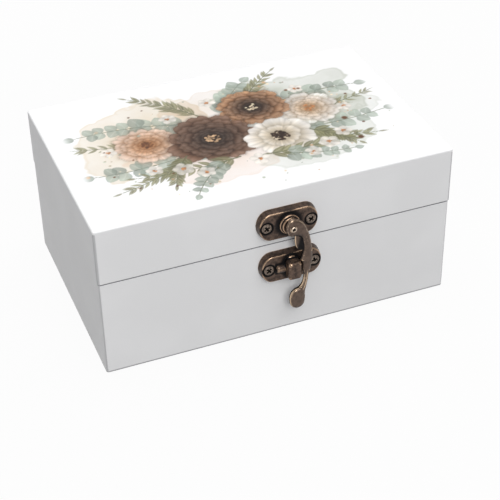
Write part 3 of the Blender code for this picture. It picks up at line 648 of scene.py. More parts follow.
def outlined(
    name: str, points: Sequence[Point], low: float, high: float, corner: int | None = None
) -> Shape:
    """A smooth closed outline in XY, thickened from one height to another.

    Args:
        name: Name of the outline.
        points: The places that it runs through.
        low: Height of its lower face.
        high: Height of its upper face.
        corner: Number of the one point where it turns sharply, if there is one.

    Returns:
        The closed shape.
    """
    curve = bpy.data.curves.new(name, "CURVE")
    curve.dimensions = "2D"
    curve.fill_mode = "BOTH"
    curve.extrude = (high - low) / 2
    curve.resolution_u = 10
    spline = curve.splines.new("BEZIER")
    spline.bezier_points.add(len(points) - 1)
    for number, (knot, place) in enumerate(zip(spline.bezier_points, points)):
        knot.co = (*place, 0)
        knot.handle_left_type = knot.handle_right_type = "VECTOR" if number == corner else "AUTO"
    spline.use_cyclic_u = True
    holder = new_object(name, curve)
    bpy.context.view_layer.update()
    flat = bpy.data.meshes.new_from_object(holder.evaluated_get(bpy.context.evaluated_depsgraph_get()))
    bpy.data.objects.remove(holder)
    bpy.data.curves.remove(curve)
    shape = bmesh.new()
    shape.from_mesh(flat)
    bpy.data.meshes.remove(flat)
    bmesh.ops.translate(shape, verts=shape.verts, vec=(0, 0, (low + high) / 2))
    bmesh.ops.remove_doubles(shape, verts=shape.verts, dist=MERGE_DISTANCE)
    bmesh.ops.dissolve_limit(shape, angle_limit=math.radians(0.2), verts=shape.verts, edges=shape.edges)
    return shape


def rim_of(shape: Shape, height: float) -> list[Edge]:
    """The sharp edges of a shape that lie at one height."""
    level = edges_where(shape, lambda p: near(p.z, height))
    return [edge for edge in level if edge.calc_face_angle() > SHARP_BEND]


def cut(name: str, mesh: Mesh, cutters: Sequence[Shape]) -> Mesh:
    """Take shapes out of a mesh.

    Args:
        name: Name of the result.
        mesh: The mesh to cut.
        cutters: The shapes to take out, which are used up.

    Returns:
        The cut mesh.
    """
    tools = [
        new_object(f"{name}_cutter_{number}", mesh_of(cutter, f"{name}_cutter"))
        for number, cutter in enumerate(cutters)
    ]

    def dress(holder: bpy.types.Object) -> None:
        """Add a Boolean for each cutter."""
        for tool in tools:
            step = holder.modifiers.new("cut", "BOOLEAN")
            step.operation = "DIFFERENCE"
            step.object = tool
            step.solver = "EXACT"
            step.use_self = True

    result = evaluated_mesh(name, mesh, dress)
    for tool in tools:
        bpy.data.objects.remove(tool)
    return result


def cast(name: str, mesh: Mesh, grain: float, passes: int) -> Mesh:
    """Fuse overlapping shells into one soft-edged skin, as a casting has.

    Args:
        name: Name of the result.
        mesh: Closed shells, which may overlap.
        grain: Size of the finest detail kept.
        passes: How often the skin is smoothed.

    Returns:
        One closed mesh of small even faces.
    """

    def dress(holder: bpy.types.Object) -> None:
        """Add the fusing and the smoothing."""
        fuse = holder.modifiers.new("fuse", "REMESH")
        fuse.mode = "VOXEL"
        fuse.voxel_size = grain
        soften = holder.modifiers.new("soften", "SMOOTH")
        soften.factor = 0.5
        soften.iterations = passes

    return evaluated_mesh(name, mesh, dress)


def spread(values: Array, pairs: Array, passes: int) -> Array:
    """Average each point's value with its neighbours' a number of times."""
    count = np.maximum(np.bincount(pairs.ravel(), minlength=len(values)), 1)
    for _ in range(passes):
        total = np.bincount(pairs[:, 0], values[pairs[:, 1]], len(values))
        total += np.bincount(pairs[:, 1], values[pairs[:, 0]], len(values))
        values = (values + total / count) / 2
    return values


def points_of(mesh: Mesh) -> Array:
    """Places of a mesh's points, one to a row."""
    places = np.empty(len(mesh.vertices) * 3)
    mesh.vertices.foreach_get("co", places)
    return places.reshape(-1, 3)


def normals_of(mesh: Mesh) -> Array:
    """Directions that a mesh's points face, one to a row."""
    normals = np.empty(len(mesh.vertices) * 3)
    mesh.vertex_normals.foreach_get("vector", normals)
    return normals.reshape(-1, 3)


def mark(mesh: Mesh, name: str, values: Array) -> None:
    """Write a value at each point of a mesh, under a name that a material reads."""
    marks = mesh.attributes.get(name) or mesh.attributes.new(name, "FLOAT", "POINT")
    marks.data.foreach_set("value", values.astype(np.float32))


def marks_of(mesh: Mesh, name: str) -> Array:
    """Values that a mesh carries at its points under a name."""
    values = np.empty(len(mesh.vertices), dtype=np.float32)
    mesh.attributes[name].data.foreach_get("value", values)
    return values


def darken(mesh: Mesh, share: Array) -> None:
    """Mark points of a worn mesh as hollow, for painted shade, each by its share from 0 to 1."""
    mark(mesh, "edge", marks_of(mesh, "edge") * (1 - share))
    mark(mesh, "hollow", np.maximum(marks_of(mesh, "hollow"), share))


def polish(mesh: Mesh, share: Array) -> None:
    """Mark points of a worn mesh as rubbed bright, each by its share from 0 to 1."""
    mark(mesh, "edge", np.maximum(marks_of(mesh, "edge"), share))


def mark_edges_and_hollows(mesh: Mesh, radius: float, edge_passes: int = 2, hollow_passes: int = 10) -> None:
    """Mark where a mesh bends outwards, for wear, and where it is hollow, for painted shade and patina.

    Args:
        mesh: The mesh, which gets the point attributes edge and hollow, 0 to 1.
        radius: The bend that counts as a full edge.
        edge_passes: How often the edge marks are spread.
        hollow_passes: How often the hollow marks are spread.
    """
    count = len(mesh.vertices)
    places = points_of(mesh)
    normals = normals_of(mesh)
    pairs = np.empty(len(mesh.edges) * 2, dtype=np.int32)
    mesh.edges.foreach_get("vertices", pairs)
    pairs = pairs.reshape(-1, 2)
    along = places[pairs[:, 1]] - places[pairs[:, 0]]
    turn = normals[pairs[:, 1]] - normals[pairs[:, 0]]
    bend = (along * turn).sum(1) / np.maximum((along * along).sum(1), 1e-14)
    ends = np.maximum(np.bincount(pairs.ravel(), minlength=count), 1)
    bend = (np.bincount(pairs[:, 0], bend, count) + np.bincount(pairs[:, 1], bend, count)) / ends
    bend *= 2 * radius
    edge = np.clip(spread(bend, pairs, edge_passes), 0, 1)
    hollow = np.clip(-2 * spread(np.minimum(bend, 0.5), pairs, hollow_passes), 0, 1)
    mark(mesh, "edge", edge)
    mark(mesh, "hollow", hollow)


def shade_turned(mesh: Mesh, radius: float) -> None:
    """Shade a small turned piece, and mark the wear on its edges and the painted shade in its hollows."""
    mesh.shade_smooth()
    mark_edges_and_hollows(mesh, radius, 0, 1)
    mesh.set_sharp_from_angle(angle=SMOOTH_ANGLE)


class Facing(Enum):
    """How a piece that is drawn in XY, with its face to +Z, is turned to stand on the box."""

    FRONT = (QUARTER, 0, 0)
    BACK = (QUARTER, 0, math.pi)

    def at(self, place: Place) -> Matrix:
        """Matrix that puts the piece on the box at a place."""
        return Matrix.Translation(place) @ Euler(self.value).to_matrix().to_4x4()


def add_piece(
    name: str, mesh: Mesh, material: Material, body: str, node: str, matrix: Matrix
) -> None:
    """Put a finished mesh on the box.

    Args:
        name: The piece's name.
        mesh: Its mesh.
        material: Its material.
        body: The body that it moves with.
        node: The CAD node that it stands for.
        matrix: Where its mesh goes on the box.
    """
    mesh.transform(matrix)
    if "edge" in mesh.attributes:
        # Painted shade on faces that point down, which the bronze materials read.
        mark(mesh, "under", ease(-normals_of(mesh)[:, 2], -0.1, 0.8))
    mesh.materials.clear()
    mesh.materials.append(material)
    piece = new_object(name, mesh)
    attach(piece, body)
    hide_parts(node)
    mesh.calc_loop_triangles()
    log.info("%s: %d triangles on %s", name, len(mesh.loop_triangles), body)


def smooth_flat(mesh: Mesh) -> Mesh:
    """Shade rounded edges smoothly and keep the flats flat."""
    mesh.shade_smooth()
    mesh.set_sharp_from_angle(angle=FLAT_ANGLE)

    def dress(holder: bpy.types.Object) -> None:
        """Add normals that follow the larger faces."""
        weigh = holder.modifiers.new("flats", "WEIGHTED_NORMAL")
        weigh.keep_sharp = True
        weigh.weight = 100

    return evaluated_mesh(mesh.name, mesh, dress)


# Print on the lid


class Clouds:
    """Smooth random fields that are the same on every run."""

    def __init__(self, seed: int) -> None:
        """Make the table that all the fields are read from."""
        self.table = np.random.default_rng(seed).random((CELLS, CELLS))

    def field(self, x: Array, y: Array, cell: float, octaves: int) -> Array:
        """Cloud values from 0 to 1.

        Args:
            x: Places across.
            y: Places along.
            cell: Size of the largest patches.
            octaves: How many layers there are, each finer than the last.

        Returns:
            The value at each place.
        """
        total = np.zeros_like(x)
        weight, share = 0.0, 1.0
        for octave in range(octaves):
            u = x / cell * 2**octave + 37.1 * octave
            v = y / cell * 2**octave + 11.7 * octave
            i, j = np.floor(u).astype(int), np.floor(v).astype(int)
            fu, fv = u - i, v - j
            fu, fv = fu * fu * (3 - 2 * fu), fv * fv * (3 - 2 * fv)
            near_row, far_row = (
                self.table[i % CELLS, row % CELLS] * (1 - fu) + self.table[(i + 1) % CELLS, row % CELLS] * fu
                for row in (j, j + 1)
            )
            total += share * (near_row * (1 - fv) + far_row * fv)
            weight += share
            share /= 2
        return total / weight


def ease(values: Array, low: float, high: float) -> Array:
    """A soft step from 0 at low to 1 at high."""
    share = np.clip((values - low) / (high - low), 0, 1)
    return share * share * (3 - 2 * share)


def hump(values: Array, rise: Point, fall: Point) -> Array:
    """1 between a soft rise and a soft fall, 0 outside them."""
    return ease(values, *rise) * (1 - ease(values, *fall))


def tint(red: int, green: int, blue: int) -> Array:
    """A screen colour, 0 to 255, as an array from 0 to 1."""
    return np.array([red, green, blue]) / 255


def along_and_across(dx: Array, dy: Array, angle: float) -> tuple[Array, Array]:
    """Lengths along and across the way that an angle points."""
    return dx * math.cos(angle) + dy * math.sin(angle), dy * math.cos(angle) - dx * math.sin(angle)


class Inks:
    """Colours of the print."""

    SAGE = tint(176, 181, 163)
    PALE_SAGE = tint(205, 208, 196)
    SAND = tint(226, 208, 178)
    TAN = tint(206, 170, 132)
    BLUSH = tint(232, 197, 172)
    CREAM = tint(247, 240, 230)
    TOFFEE = tint(184, 126, 80)
    CHESTNUT = tint(102, 62, 38)
    UMBER = tint(48, 31, 22)
    OLIVE = tint(140, 138, 98)
    MOSS = tint(104, 110, 80)
    EUCALYPTUS = tint(172, 184, 170)


class Canvas:
    """The lid's printed area as loose points, painted in thin layers. Lengths are millimetres."""

    def __init__(self, x: Array, y: Array, seed: int) -> None:
        """Start with clean white at each point."""
        self.x, self.y = x, y
        self.colour = np.ones((len(x), 3))
        self.clouds = Clouds(seed)
        self.random = np.random.default_rng(seed)
        self.ragged = self.clouds.field(x, y, 5.0, 4) - 0.5

    def wash(self, mask: Array, colour: Array, strength: float) -> None:
        """Lay a thin see-through colour over what is there."""
        self.colour *= 1 - (mask * strength)[:, None] * (1 - colour)

    def around(self, centre: Point, reach: float) -> tuple[Array, Array, Array]:
        """Which points are within reach of a centre, and where they are from it."""
        dx, dy = self.x - centre[0], self.y - centre[1]
        chosen = np.flatnonzero(dx * dx + dy * dy < reach * reach)
        return chosen, dx[chosen], dy[chosen]

    def cover(self, chosen: Array, mask: Array, colour: Array) -> None:
        """Paint a body colour over some of the points."""
        old = self.colour[chosen]
        self.colour[chosen] = old + mask[:, None] * (colour - old)

    def pool(self, centre: Point, size: Point, angle: float, colour: Array, strength: float) -> None:
        """A loose pool of wet colour with a darker dried rim.

        Args:
            centre: Its middle.
            size: Half its length and half its width.
            angle: How it is turned.
            colour: Its colour.
            strength: How dense it is.
        """
        along, across = along_and_across(self.x - centre[0], self.y - centre[1], angle)
        broad = self.clouds.field(self.x + centre[0], self.y - centre[1], 16.0, 4) - 0.5
        depth = 1 - np.hypot(along / size[0], across / size[1]) + 1.1 * broad + 0.16 * self.ragged
        body = ease(depth, 0.0, 0.10) * (0.42 + 0.5 * self.clouds.field(self.x, self.y, 9.0, 5))
        soft = ease(depth, 0.0, 0.75)
        rim = np.exp(-(((depth - 0.06) / 0.035) ** 2)) * 0.28
        self.wash(np.clip(body * (0.55 + 0.45 * soft) + rim, 0, 1), colour, strength)

    def leaf(
        self, base: Point, angle: float, length: float, width: float, colour: Array,
        opacity: float, fullness: float, bias: float = 0.8,
    ) -> None:
        """One leaf with a pale midrib and a darker rim.

        Args:
            base: Where it meets its stem.
            angle: The way that it points.
            length: Its length.
            width: Half its width.
            colour: Its colour.
            opacity: How much it covers.
            fullness: Under 1 for a round leaf, over 1 for a slender one.
            bias: Under 1 where it is widest near its base.
        """
        chosen, dx, dy = self.around(base, length * 1.05)
        along, across = along_and_across(dx, dy, angle)
        t = along / length
        s = across / width + 0.25 * np.sin(t * 3.0) * self.random.uniform(-1, 1)
        half = np.sin(math.pi * np.clip(t, 0, 1) ** bias) ** fullness
        depth = (half - np.abs(s)) * width
        mask = ease(depth, -0.05, 0.35) * (t > 0) * (t < 1)
        rim = np.exp(-np.clip(depth, 0, None) / 0.5)
        mottle = self.clouds.field(self.x[chosen], self.y[chosen], 3.0, 3)
        tone = 0.90 + 0.26 * (mottle - 0.5) - 0.16 * rim + 0.10 * ease(t, 0.0, 1.0)
        vein = np.exp(-((s * width / 0.22) ** 2)) * hump(t, (0.02, 0.12), (0.75, 0.95))
        shade = colour * tone[:, None]
        shade = shade + 0.22 * vein[:, None] * (1 - shade)
        self.cover(chosen, mask * opacity * (0.8 + 0.2 * mottle), np.clip(shade, 0, 1))

    def stem(self, points: Sequence[Point], width: float, colour: Array) -> None:
        """A thin stem through some points, finer towards its tip."""
        path = np.array(points)
        for number, (start, end) in enumerate(zip(path, path[1:])):
            middle = (start + end) / 2
            way = end - start
            length = float(np.hypot(*way))
            chosen, dx, dy = self.around(tuple(middle), length / 2 + width * 2)
            along = (dx * way[0] + dy * way[1]) / length
            off = np.abs(dy * way[0] - dx * way[1]) / length
            taper = width * (1 - 0.6 * number / len(path))
            mask = (1 - ease(off, taper * 0.6, taper * 1.4)) * (np.abs(along) < length / 2 + 0.1)
            self.cover(chosen, 0.85 * mask, np.broadcast_to(colour, (len(chosen), 3)))

    def sprig(
        self, start: Point, angle: float, length: float, curve: float, leaf: Point, pairs: int,
        colour: Array, stem_colour: Array, fullness: float, lean: float, opacity: float,
    ) -> None:
        """A curved stem with paired leaves that grow smaller to the tip.

        Args:
            start: Where the stem begins.
            angle: The way that it first points.
            length: Its length.
            curve: How far it turns in all.
            leaf: Length and half width of the largest leaf.
            pairs: How many pairs of leaves it has.
            colour: The leaves' colour.
            stem_colour: The stem's colour.
            fullness: Roundness of the leaves.
            lean: Angle between a leaf and the stem.
            opacity: How much the leaves cover.
        """
        steps = 24
        points = [start]
        headings = []
        for step in range(steps):
            heading = angle + curve * step / steps
            headings.append(heading)
            x, y = points[-1]
            points.append((x + math.cos(heading) * length / steps, y + math.sin(heading) * length / steps))
        self.stem(points, 0.32, stem_colour)
        for number in range(pairs):
            share = 0.12 + 0.86 * number / pairs
            spot = points[int(share * steps)]
            heading = headings[min(int(share * steps), steps - 1)]
            size = (1 - 0.5 * share) * self.random.uniform(0.85, 1.1)
            for side in (-1, 1):
                turn = heading + side * lean * self.random.uniform(0.8, 1.15)
                hue = np.clip(colour * self.random.uniform(0.88, 1.12), 0, 1)
                self.leaf(spot, turn, leaf[0] * size, leaf[1] * size, hue, opacity, fullness)
        self.leaf(points[-1], headings[-1], leaf[0] * 0.55, leaf[1] * 0.5, colour, opacity, fullness)

    def bloom(
        self, centre: Point, radius: float, rings: int, petals: int, outer: Array,
        inner: Array, ruffle: float, squash: float,
    ) -> None:
        """A full flower, painted from its outer petals to its heart.

        Args:
            centre: Its middle.
            radius: Its size.
            rings: How many rings of petals it has.
            petals: How many petals the outer ring has.
            outer: Colour of the outer petals.
            inner: Colour of the heart.
            ruffle: How wavy the petals' rims are.
            squash: Its height as a share of its width.
        """
        for ring in range(rings):
            share = ring / max(rings - 1, 1)
            size = radius * (1 - 0.74 * share**0.85)
            count = max(petals - ring, 4)
            offset = self.random.uniform(0, math.tau)
            order = self.random.permutation(count)
            colour = outer + (inner - outer) * share**1.2
            for number in order:
                angle = offset + math.tau * number / count + self.random.uniform(-0.1, 0.1)
                self.petal(
                    centre, angle, size * self.random.uniform(0.9, 1.07), math.pi / count * 1.32,
                    np.clip(colour * self.random.uniform(0.93, 1.07), 0, 1), inner, ruffle, squash,
                )

    def petal(
        self, centre: Point, angle: float, length: float, spread_angle: float, colour: Array,
        heart: Array, ruffle: float, squash: float,
    ) -> None:
        """One broad petal with a soft shadow under its rim."""
        chosen, dx, dy = self.around(centre, length * 1.35)
        dy = dy / squash
        distance = np.hypot(dx, dy)
        turn = (np.arctan2(dy, dx) - angle + math.pi) % math.tau - math.pi
        side = turn / spread_angle
        wave = self.clouds.field(np.cos(angle) * 40 + side * 6, distance * 0.2 + angle * 9, 2.2, 3) - 0.5
        tip = length * (1 - 0.30 * np.abs(side) ** 2.6 + ruffle * wave - 0.05 * np.exp(-((side / 0.18) ** 2)))
        flank = (1 - np.abs(side)) * spread_angle * np.maximum(distance, 0.4) * 1.2
        depth = np.minimum(tip - distance, flank)
        shadow = np.exp(-np.clip(-depth, 0, None) / 0.7) * (depth < 0) * 0.30
        mask = ease(depth, -0.05, 0.35)
        t = distance / length
        streaks = self.clouds.field(side * 5 + angle * 7, t * 1.2 + angle, 1.0, 3) - 0.5
        rim = np.exp(-np.clip(depth, 0, None) / 0.45)
        light = ease(t, 0.25, 0.95)
        shade = heart * 0.85 + (colour - heart * 0.85) * light[:, None]
        pale = 0.30 * ease(t, 0.62, 0.98) * (1 - rim)
        shade = shade + pale[:, None] * (np.ones(3) - shade)
        tone = 1 + 0.30 * streaks - 0.20 * rim
        self.cover(chosen, shadow, np.broadcast_to(heart * 0.6, (len(chosen), 3)))
        self.cover(chosen, mask * 0.96, np.clip(shade * tone[:, None], 0, 1))

    def dots(self, centre: Point, radius: float, count: int, size: float, colour: Array) -> None:
        """A cluster of small dots, as in a flower's heart."""
        for _ in range(count):
            way = self.random.uniform(0, math.tau)
            far = radius * math.sqrt(self.random.random())
            spot = (centre[0] + far * math.cos(way), centre[1] + far * math.sin(way))
            dot = size * self.random.uniform(0.6, 1.3)
            chosen, dx, dy = self.around(spot, dot * 1.6)
            mask = 1 - ease(np.hypot(dx, dy), dot * 0.55, dot * 1.3)
            hue = np.clip(colour * self.random.uniform(0.8, 1.2), 0, 1)
            self.cover(chosen, 0.9 * mask, np.broadcast_to(hue, (len(chosen), 3)))

    def small_flower(self, centre: Point, radius: float, colour: Array, heart: Array) -> None:
        """A small open flower of five petals."""
        start = self.random.uniform(0, math.tau)
        for number in range(5):
            angle = start + math.tau * number / 5
            self.leaf(centre, angle, radius, radius * 0.46, colour, 0.95, 0.55, 1.25)
        self.dots(centre, radius * 0.2, 7, radius * 0.12, heart)


@dataclass
class FlowerPrint:
    """A loose watercolour garland over washes of sand and sage."""

    reach: Point = (74.0, 50.0)
    scale: float = 1.17
    shift: Point = (-1.0, -2.5)
    seed: int = 11
    splashes: int = 90

    def paint(self, x: Array, y: Array) -> Array:
        """Paint the whole print.

        Args:
            x: Millimetres to the right of the lid's middle.
            y: Millimetres behind it.

        Returns:
            Screen colour at each point, 0 to 1, white where nothing is printed.
        """
        canvas = Canvas((x - self.shift[0]) / self.scale, (y - self.shift[1]) / self.scale, self.seed)
        self.washes(canvas)
        self.foliage(canvas)
        self.blooms(canvas)
        self.foreground(canvas)
        self.splash(canvas)
        fade = ease(self.reach[0] - np.abs(x), 0.5, 5) * ease(self.reach[1] - np.abs(y), 0.5, 4)
        return 1 - fade[:, None] * (1 - np.clip(canvas.colour, 0, 1))

    def washes(self, canvas: Canvas) -> None:
        """Pools of colour behind the flowers."""
        for pool in (
            ((-30, 10), (30, 20), 0.35, Inks.SAND, 0.9), ((-12, -12), (32, 17), -0.25, Inks.BLUSH, 0.55),
            ((28, 14), (33, 20), -0.2, Inks.SAGE, 0.85), ((30, -12), (28, 18), 0.3, Inks.PALE_SAGE, 0.9),
            ((2, 22), (26, 12), 0.1, Inks.TAN, 0.4),
        ):
            canvas.pool(*pool)

    def foliage(self, canvas: Canvas) -> None:
        """Round grey-green leaves and fine ferns that spread from the middle."""
        green, moss, olive = Inks.EUCALYPTUS, Inks.MOSS, Inks.OLIVE
        for start, angle, length, curve in (
            ((14, 12), 0.35, 44, -0.5), ((10, -4), -0.25, 50, 0.45), ((-14, 12), 2.75, 44, 0.5),
            ((-12, -6), 3.45, 46, -0.45), ((2, 14), 1.25, 26, -0.6),
        ):
            canvas.sprig(start, angle, length, curve, (9.0, 4.2), 8, green, moss, 0.62, 1.05, 0.8)
        for start, angle, length, curve in (
            ((18, 2), 0.05, 46, 0.3), ((-18, 4), 3.1, 44, -0.25), ((8, 16), 0.95, 32, -0.3),
            ((-8, 16), 2.15, 32, 0.35), ((16, -8), -0.55, 36, 0.4), ((-20, -10), 3.75, 34, -0.4),
        ):
            canvas.sprig(start, angle, length, curve, (8.5, 1.25), 12, olive, moss, 1.0, 0.6, 0.85)

    def blooms(self, canvas: Canvas) -> None:
        """The large flowers, the paler ones behind."""
        for centre, petals, heart in (
            ((-33, 4), (13.5, 5, 9, Inks.BLUSH, Inks.TOFFEE, 0.12, 0.92), (2.2, 26, 0.5, Inks.CHESTNUT)),
            ((33, 6), (13.0, 5, 9, Inks.CREAM, Inks.TAN, 0.12, 0.92), (2.4, 28, 0.5, Inks.TOFFEE)),
            ((13, 15), (15.5, 6, 10, Inks.TOFFEE, Inks.UMBER, 0.10, 0.92), (2.4, 22, 0.5, Inks.SAND)),
            ((-9, -1), (18.5, 7, 11, Inks.CHESTNUT, Inks.UMBER, 0.10, 0.94), (2.8, 30, 0.55, Inks.TAN)),
            ((15, -9), (14.5, 3, 7, Inks.CREAM, Inks.SAND, 0.12, 0.94), (3.4, 70, 0.55, Inks.UMBER)),
        ):
            canvas.bloom(centre, *petals)
            canvas.dots(centre, *heart)

    def foreground(self, canvas: Canvas) -> None:
        """Sprigs and small white flowers in front."""
        green, moss, olive = Inks.EUCALYPTUS, Inks.MOSS, Inks.OLIVE
        for start, angle, length, curve in (
            ((-4, -17), 3.3, 40, -0.35), ((4, -19), -0.12, 42, 0.3), ((-22, -9), 4.0, 20, 0.4),
            ((27, -9), -0.7, 20, -0.3),
        ):
            canvas.sprig(start, angle, length, curve, (7.5, 1.5), 10, olive, moss, 0.95, 0.7, 0.9)
        for start, angle, length, curve in (((-10, -18), 3.7, 24, 0.5), ((12, -21), -0.45, 26, 0.4)):
            canvas.sprig(start, angle, length, curve, (6.5, 2.9), 6, green, moss, 0.62, 1.0, 0.85)
        for spot, radius in (
            ((-26, -17), 4.2), ((-19, -22), 3.6), ((-36, -14), 3.4), ((30, -20), 4.2),
            ((38, -15), 3.6), ((22, -24), 3.4), ((2, -21), 4.0), ((-2, 25), 3.6), ((-20, 19), 3.6),
            ((34, 22), 3.4), ((46, 2), 3.2), ((-48, 4), 3.4),
        ):
            canvas.small_flower(spot, radius, Inks.CREAM, Inks.TOFFEE)

    def splash(self, canvas: Canvas) -> None:
        """Fine flecks of paint round the garland."""
        hues = (Inks.TAN, Inks.SAGE, Inks.CHESTNUT, Inks.SAND)
        for number in range(self.splashes):
            way = canvas.random.uniform(0, math.tau)
            far = canvas.random.normal(1.0, 0.16)
            spot = (52 * far * math.cos(way), 31 * far * math.sin(way))
            canvas.dots(spot, 0.1, 1, abs(canvas.random.normal(0.35, 0.2)) + 0.15, hues[number % 4])


# The box


class Side(Enum):
    """The four boards of a frame, with the turn that takes each from the front."""

    FRONT = 0.0
    RIGHT = QUARTER
    BACK = math.pi
    LEFT = -QUARTER


@dataclass
class BoardFrame:
    """Four mitred boards round a rectangle."""

    prefix: str
    body: str
    width: float
    depth: float
    middle_y: float
    floor: float
    height: float
    bottom_radius: float
    thickness: float = 7 * MM
    corner_radius: float = 1.2 * MM
    top_radius: float = 0.0
    inner_radius: float = 0.25 * MM
    seam_at_top: bool = True
    rabbet: Point | None = None

    def board(self, length: float) -> Shape:
        """One board along X with its outer face at y = 0.

        Args:
            length: Its length from outer corner to outer corner.

        Returns:
            The board, both ends cut to a mitre.
        """
        shape = bmesh.new()
        outline = [(0, 0), (self.thickness, 0), (self.thickness, self.height), (0, self.height)]
        if self.rabbet:
            reach, rise = self.rabbet
            ledge = self.thickness - reach
            outline[1:2] = [(ledge, 0), (ledge, rise), (self.thickness, rise)]
        verts = [shape.verts.new((-length / 2, y, z)) for y, z in outline]
        face = shape.faces.new(verts)
        grown = bmesh.ops.extrude_face_region(shape, geom=[face])["geom"]
        drag(shape, grown, (length, 0, 0))
        bmesh.ops.recalc_face_normals(shape, faces=shape.faces)
        ends = [edge for edge in edges_where(shape, lambda p: near(p.y, 0)) if square_to(edge, 0)]
        bevel(shape, ends, self.corner_radius, 10)
        corner_end = self.corner_radius + MERGE_DISTANCE
        for height, radius in ((0, self.bottom_radius), (self.height, self.top_radius)):
            if radius:
                rim = rim_of(shape, height)
                outer = [edge for edge in rim if all(vert.co.y < corner_end for vert in edge.verts)]
                bevel(shape, outer, radius, 5)
        seam = self.height if self.seam_at_top else 0
        inner = edges_where(shape, lambda p: near(p.z, seam) and near(p.y, self.thickness))
        bevel(shape, [edge for edge in inner if not square_to(edge, 0)], self.inner_radius, 3)
        for sign in (-1, 1):
            geometry = shape.verts[:] + shape.edges[:] + shape.faces[:]
            bmesh.ops.bisect_plane(
                shape, geom=geometry, dist=MERGE_DISTANCE, plane_co=(sign * length / 2, 0, 0),
                plane_no=(sign, 1, 0), clear_outer=True,
            )
            open_edges = [edge for edge in shape.edges if edge.is_boundary]
            bmesh.ops.holes_fill(shape, edges=open_edges, sides=0)
        return shape

    def build(self, palette: Palette) -> None:
        """Make, paint and place the four boards."""
        middle = Matrix.Translation((0, self.middle_y, self.floor))
        for side in Side:
            long_side = side in (Side.FRONT, Side.BACK)
            length = self.width if long_side else self.depth
            out = (self.depth if long_side else self.width) / 2
            turn = Matrix.Rotation(side.value, 4, "Z")
            place = middle @ turn @ Matrix.Translation((0, -out, 0))
            name = f"{self.prefix}_{side.name.lower()}"
            mesh = smooth_flat(mesh_of(self.board(length), f"{name}_board"))
            paint = palette.long_paint if long_side else palette.short_paint
            add_piece(f"{name}_board", mesh, paint, self.body, f"{name}_wall", place)


@dataclass
class LidTop:
    """The lid's top panel, with a fine grid of printed points on its face."""

    print_on_it: FlowerPrint
    width: float = 160.6 * MM
    depth: float = 105.3 * MM
    middle_y: float = -0.15 * MM
    floor: float = 69.0 * MM
    thickness: float = 4 * MM
    corner_radius: float = 1.2 * MM
    top_radius: float = 1.0 * MM
    cell: float = 0.39 * MM

    def shape(self) -> Shape:
        """The panel round the origin, its face at z = 0."""
        panel = block(
            (-self.width / 2, -self.depth / 2, -self.thickness), (self.width / 2, self.depth / 2, 0)
        )
        upright = [edge for edge in panel.edges if not square_to(edge, 2)]
        bevel(panel, upright, self.corner_radius, 8)
        bevel(panel, rim_of(panel, 0), self.top_radius, 8)
        top = max(panel.faces, key=lambda f: f.calc_center_median().z + f.calc_area())
        outer = list(top.edges)
        bmesh.ops.delete(panel, geom=[top], context="FACES_ONLY")
        reach_x, reach_y = (value * MM for value in self.print_on_it.reach)
        columns, rows = (round(2 * reach / self.cell) for reach in (reach_x, reach_y))
        before = set(panel.verts)
        bmesh.ops.create_grid(panel, x_segments=columns, y_segments=rows, size=1)
        grid = [vert for vert in panel.verts if vert not in before]
        bmesh.ops.scale(panel, verts=grid, vec=(reach_x, reach_y, 1))
        inner = [edge for edge in panel.edges if edge.is_boundary and edge.verts[0] not in before]
        bmesh.ops.bridge_loops(panel, edges=outer + inner)
        return panel

    def build(self, palette: Palette) -> None:
        """Make the panel and paint its points."""
        mesh = mesh_of(self.shape(), "lid_top_board")
        places = points_of(mesh) / MM
        face = np.flatnonzero(np.abs(places[:, 2]) < 0.01)
        colours = np.ones((len(places), 4))
        colours[face, :3] = to_linear(self.print_on_it.paint(places[face, 0], places[face, 1]))
        ink = mesh.attributes.new("ink", "FLOAT_COLOR", "POINT")
        ink.data.foreach_set("color", colours.astype(np.float32).ravel())
        place = Matrix.Translation((0, self.middle_y, self.floor + self.thickness))
        mesh = smooth_flat(mesh)
        add_piece("lid_top_board", mesh, palette.top_paint, "lid", "lid_top_panel", place)


# Metalwork


class Head(Enum):
    """The two kinds of screw head."""

    COUNTERSUNK = "countersunk"
    ROUND = "round"


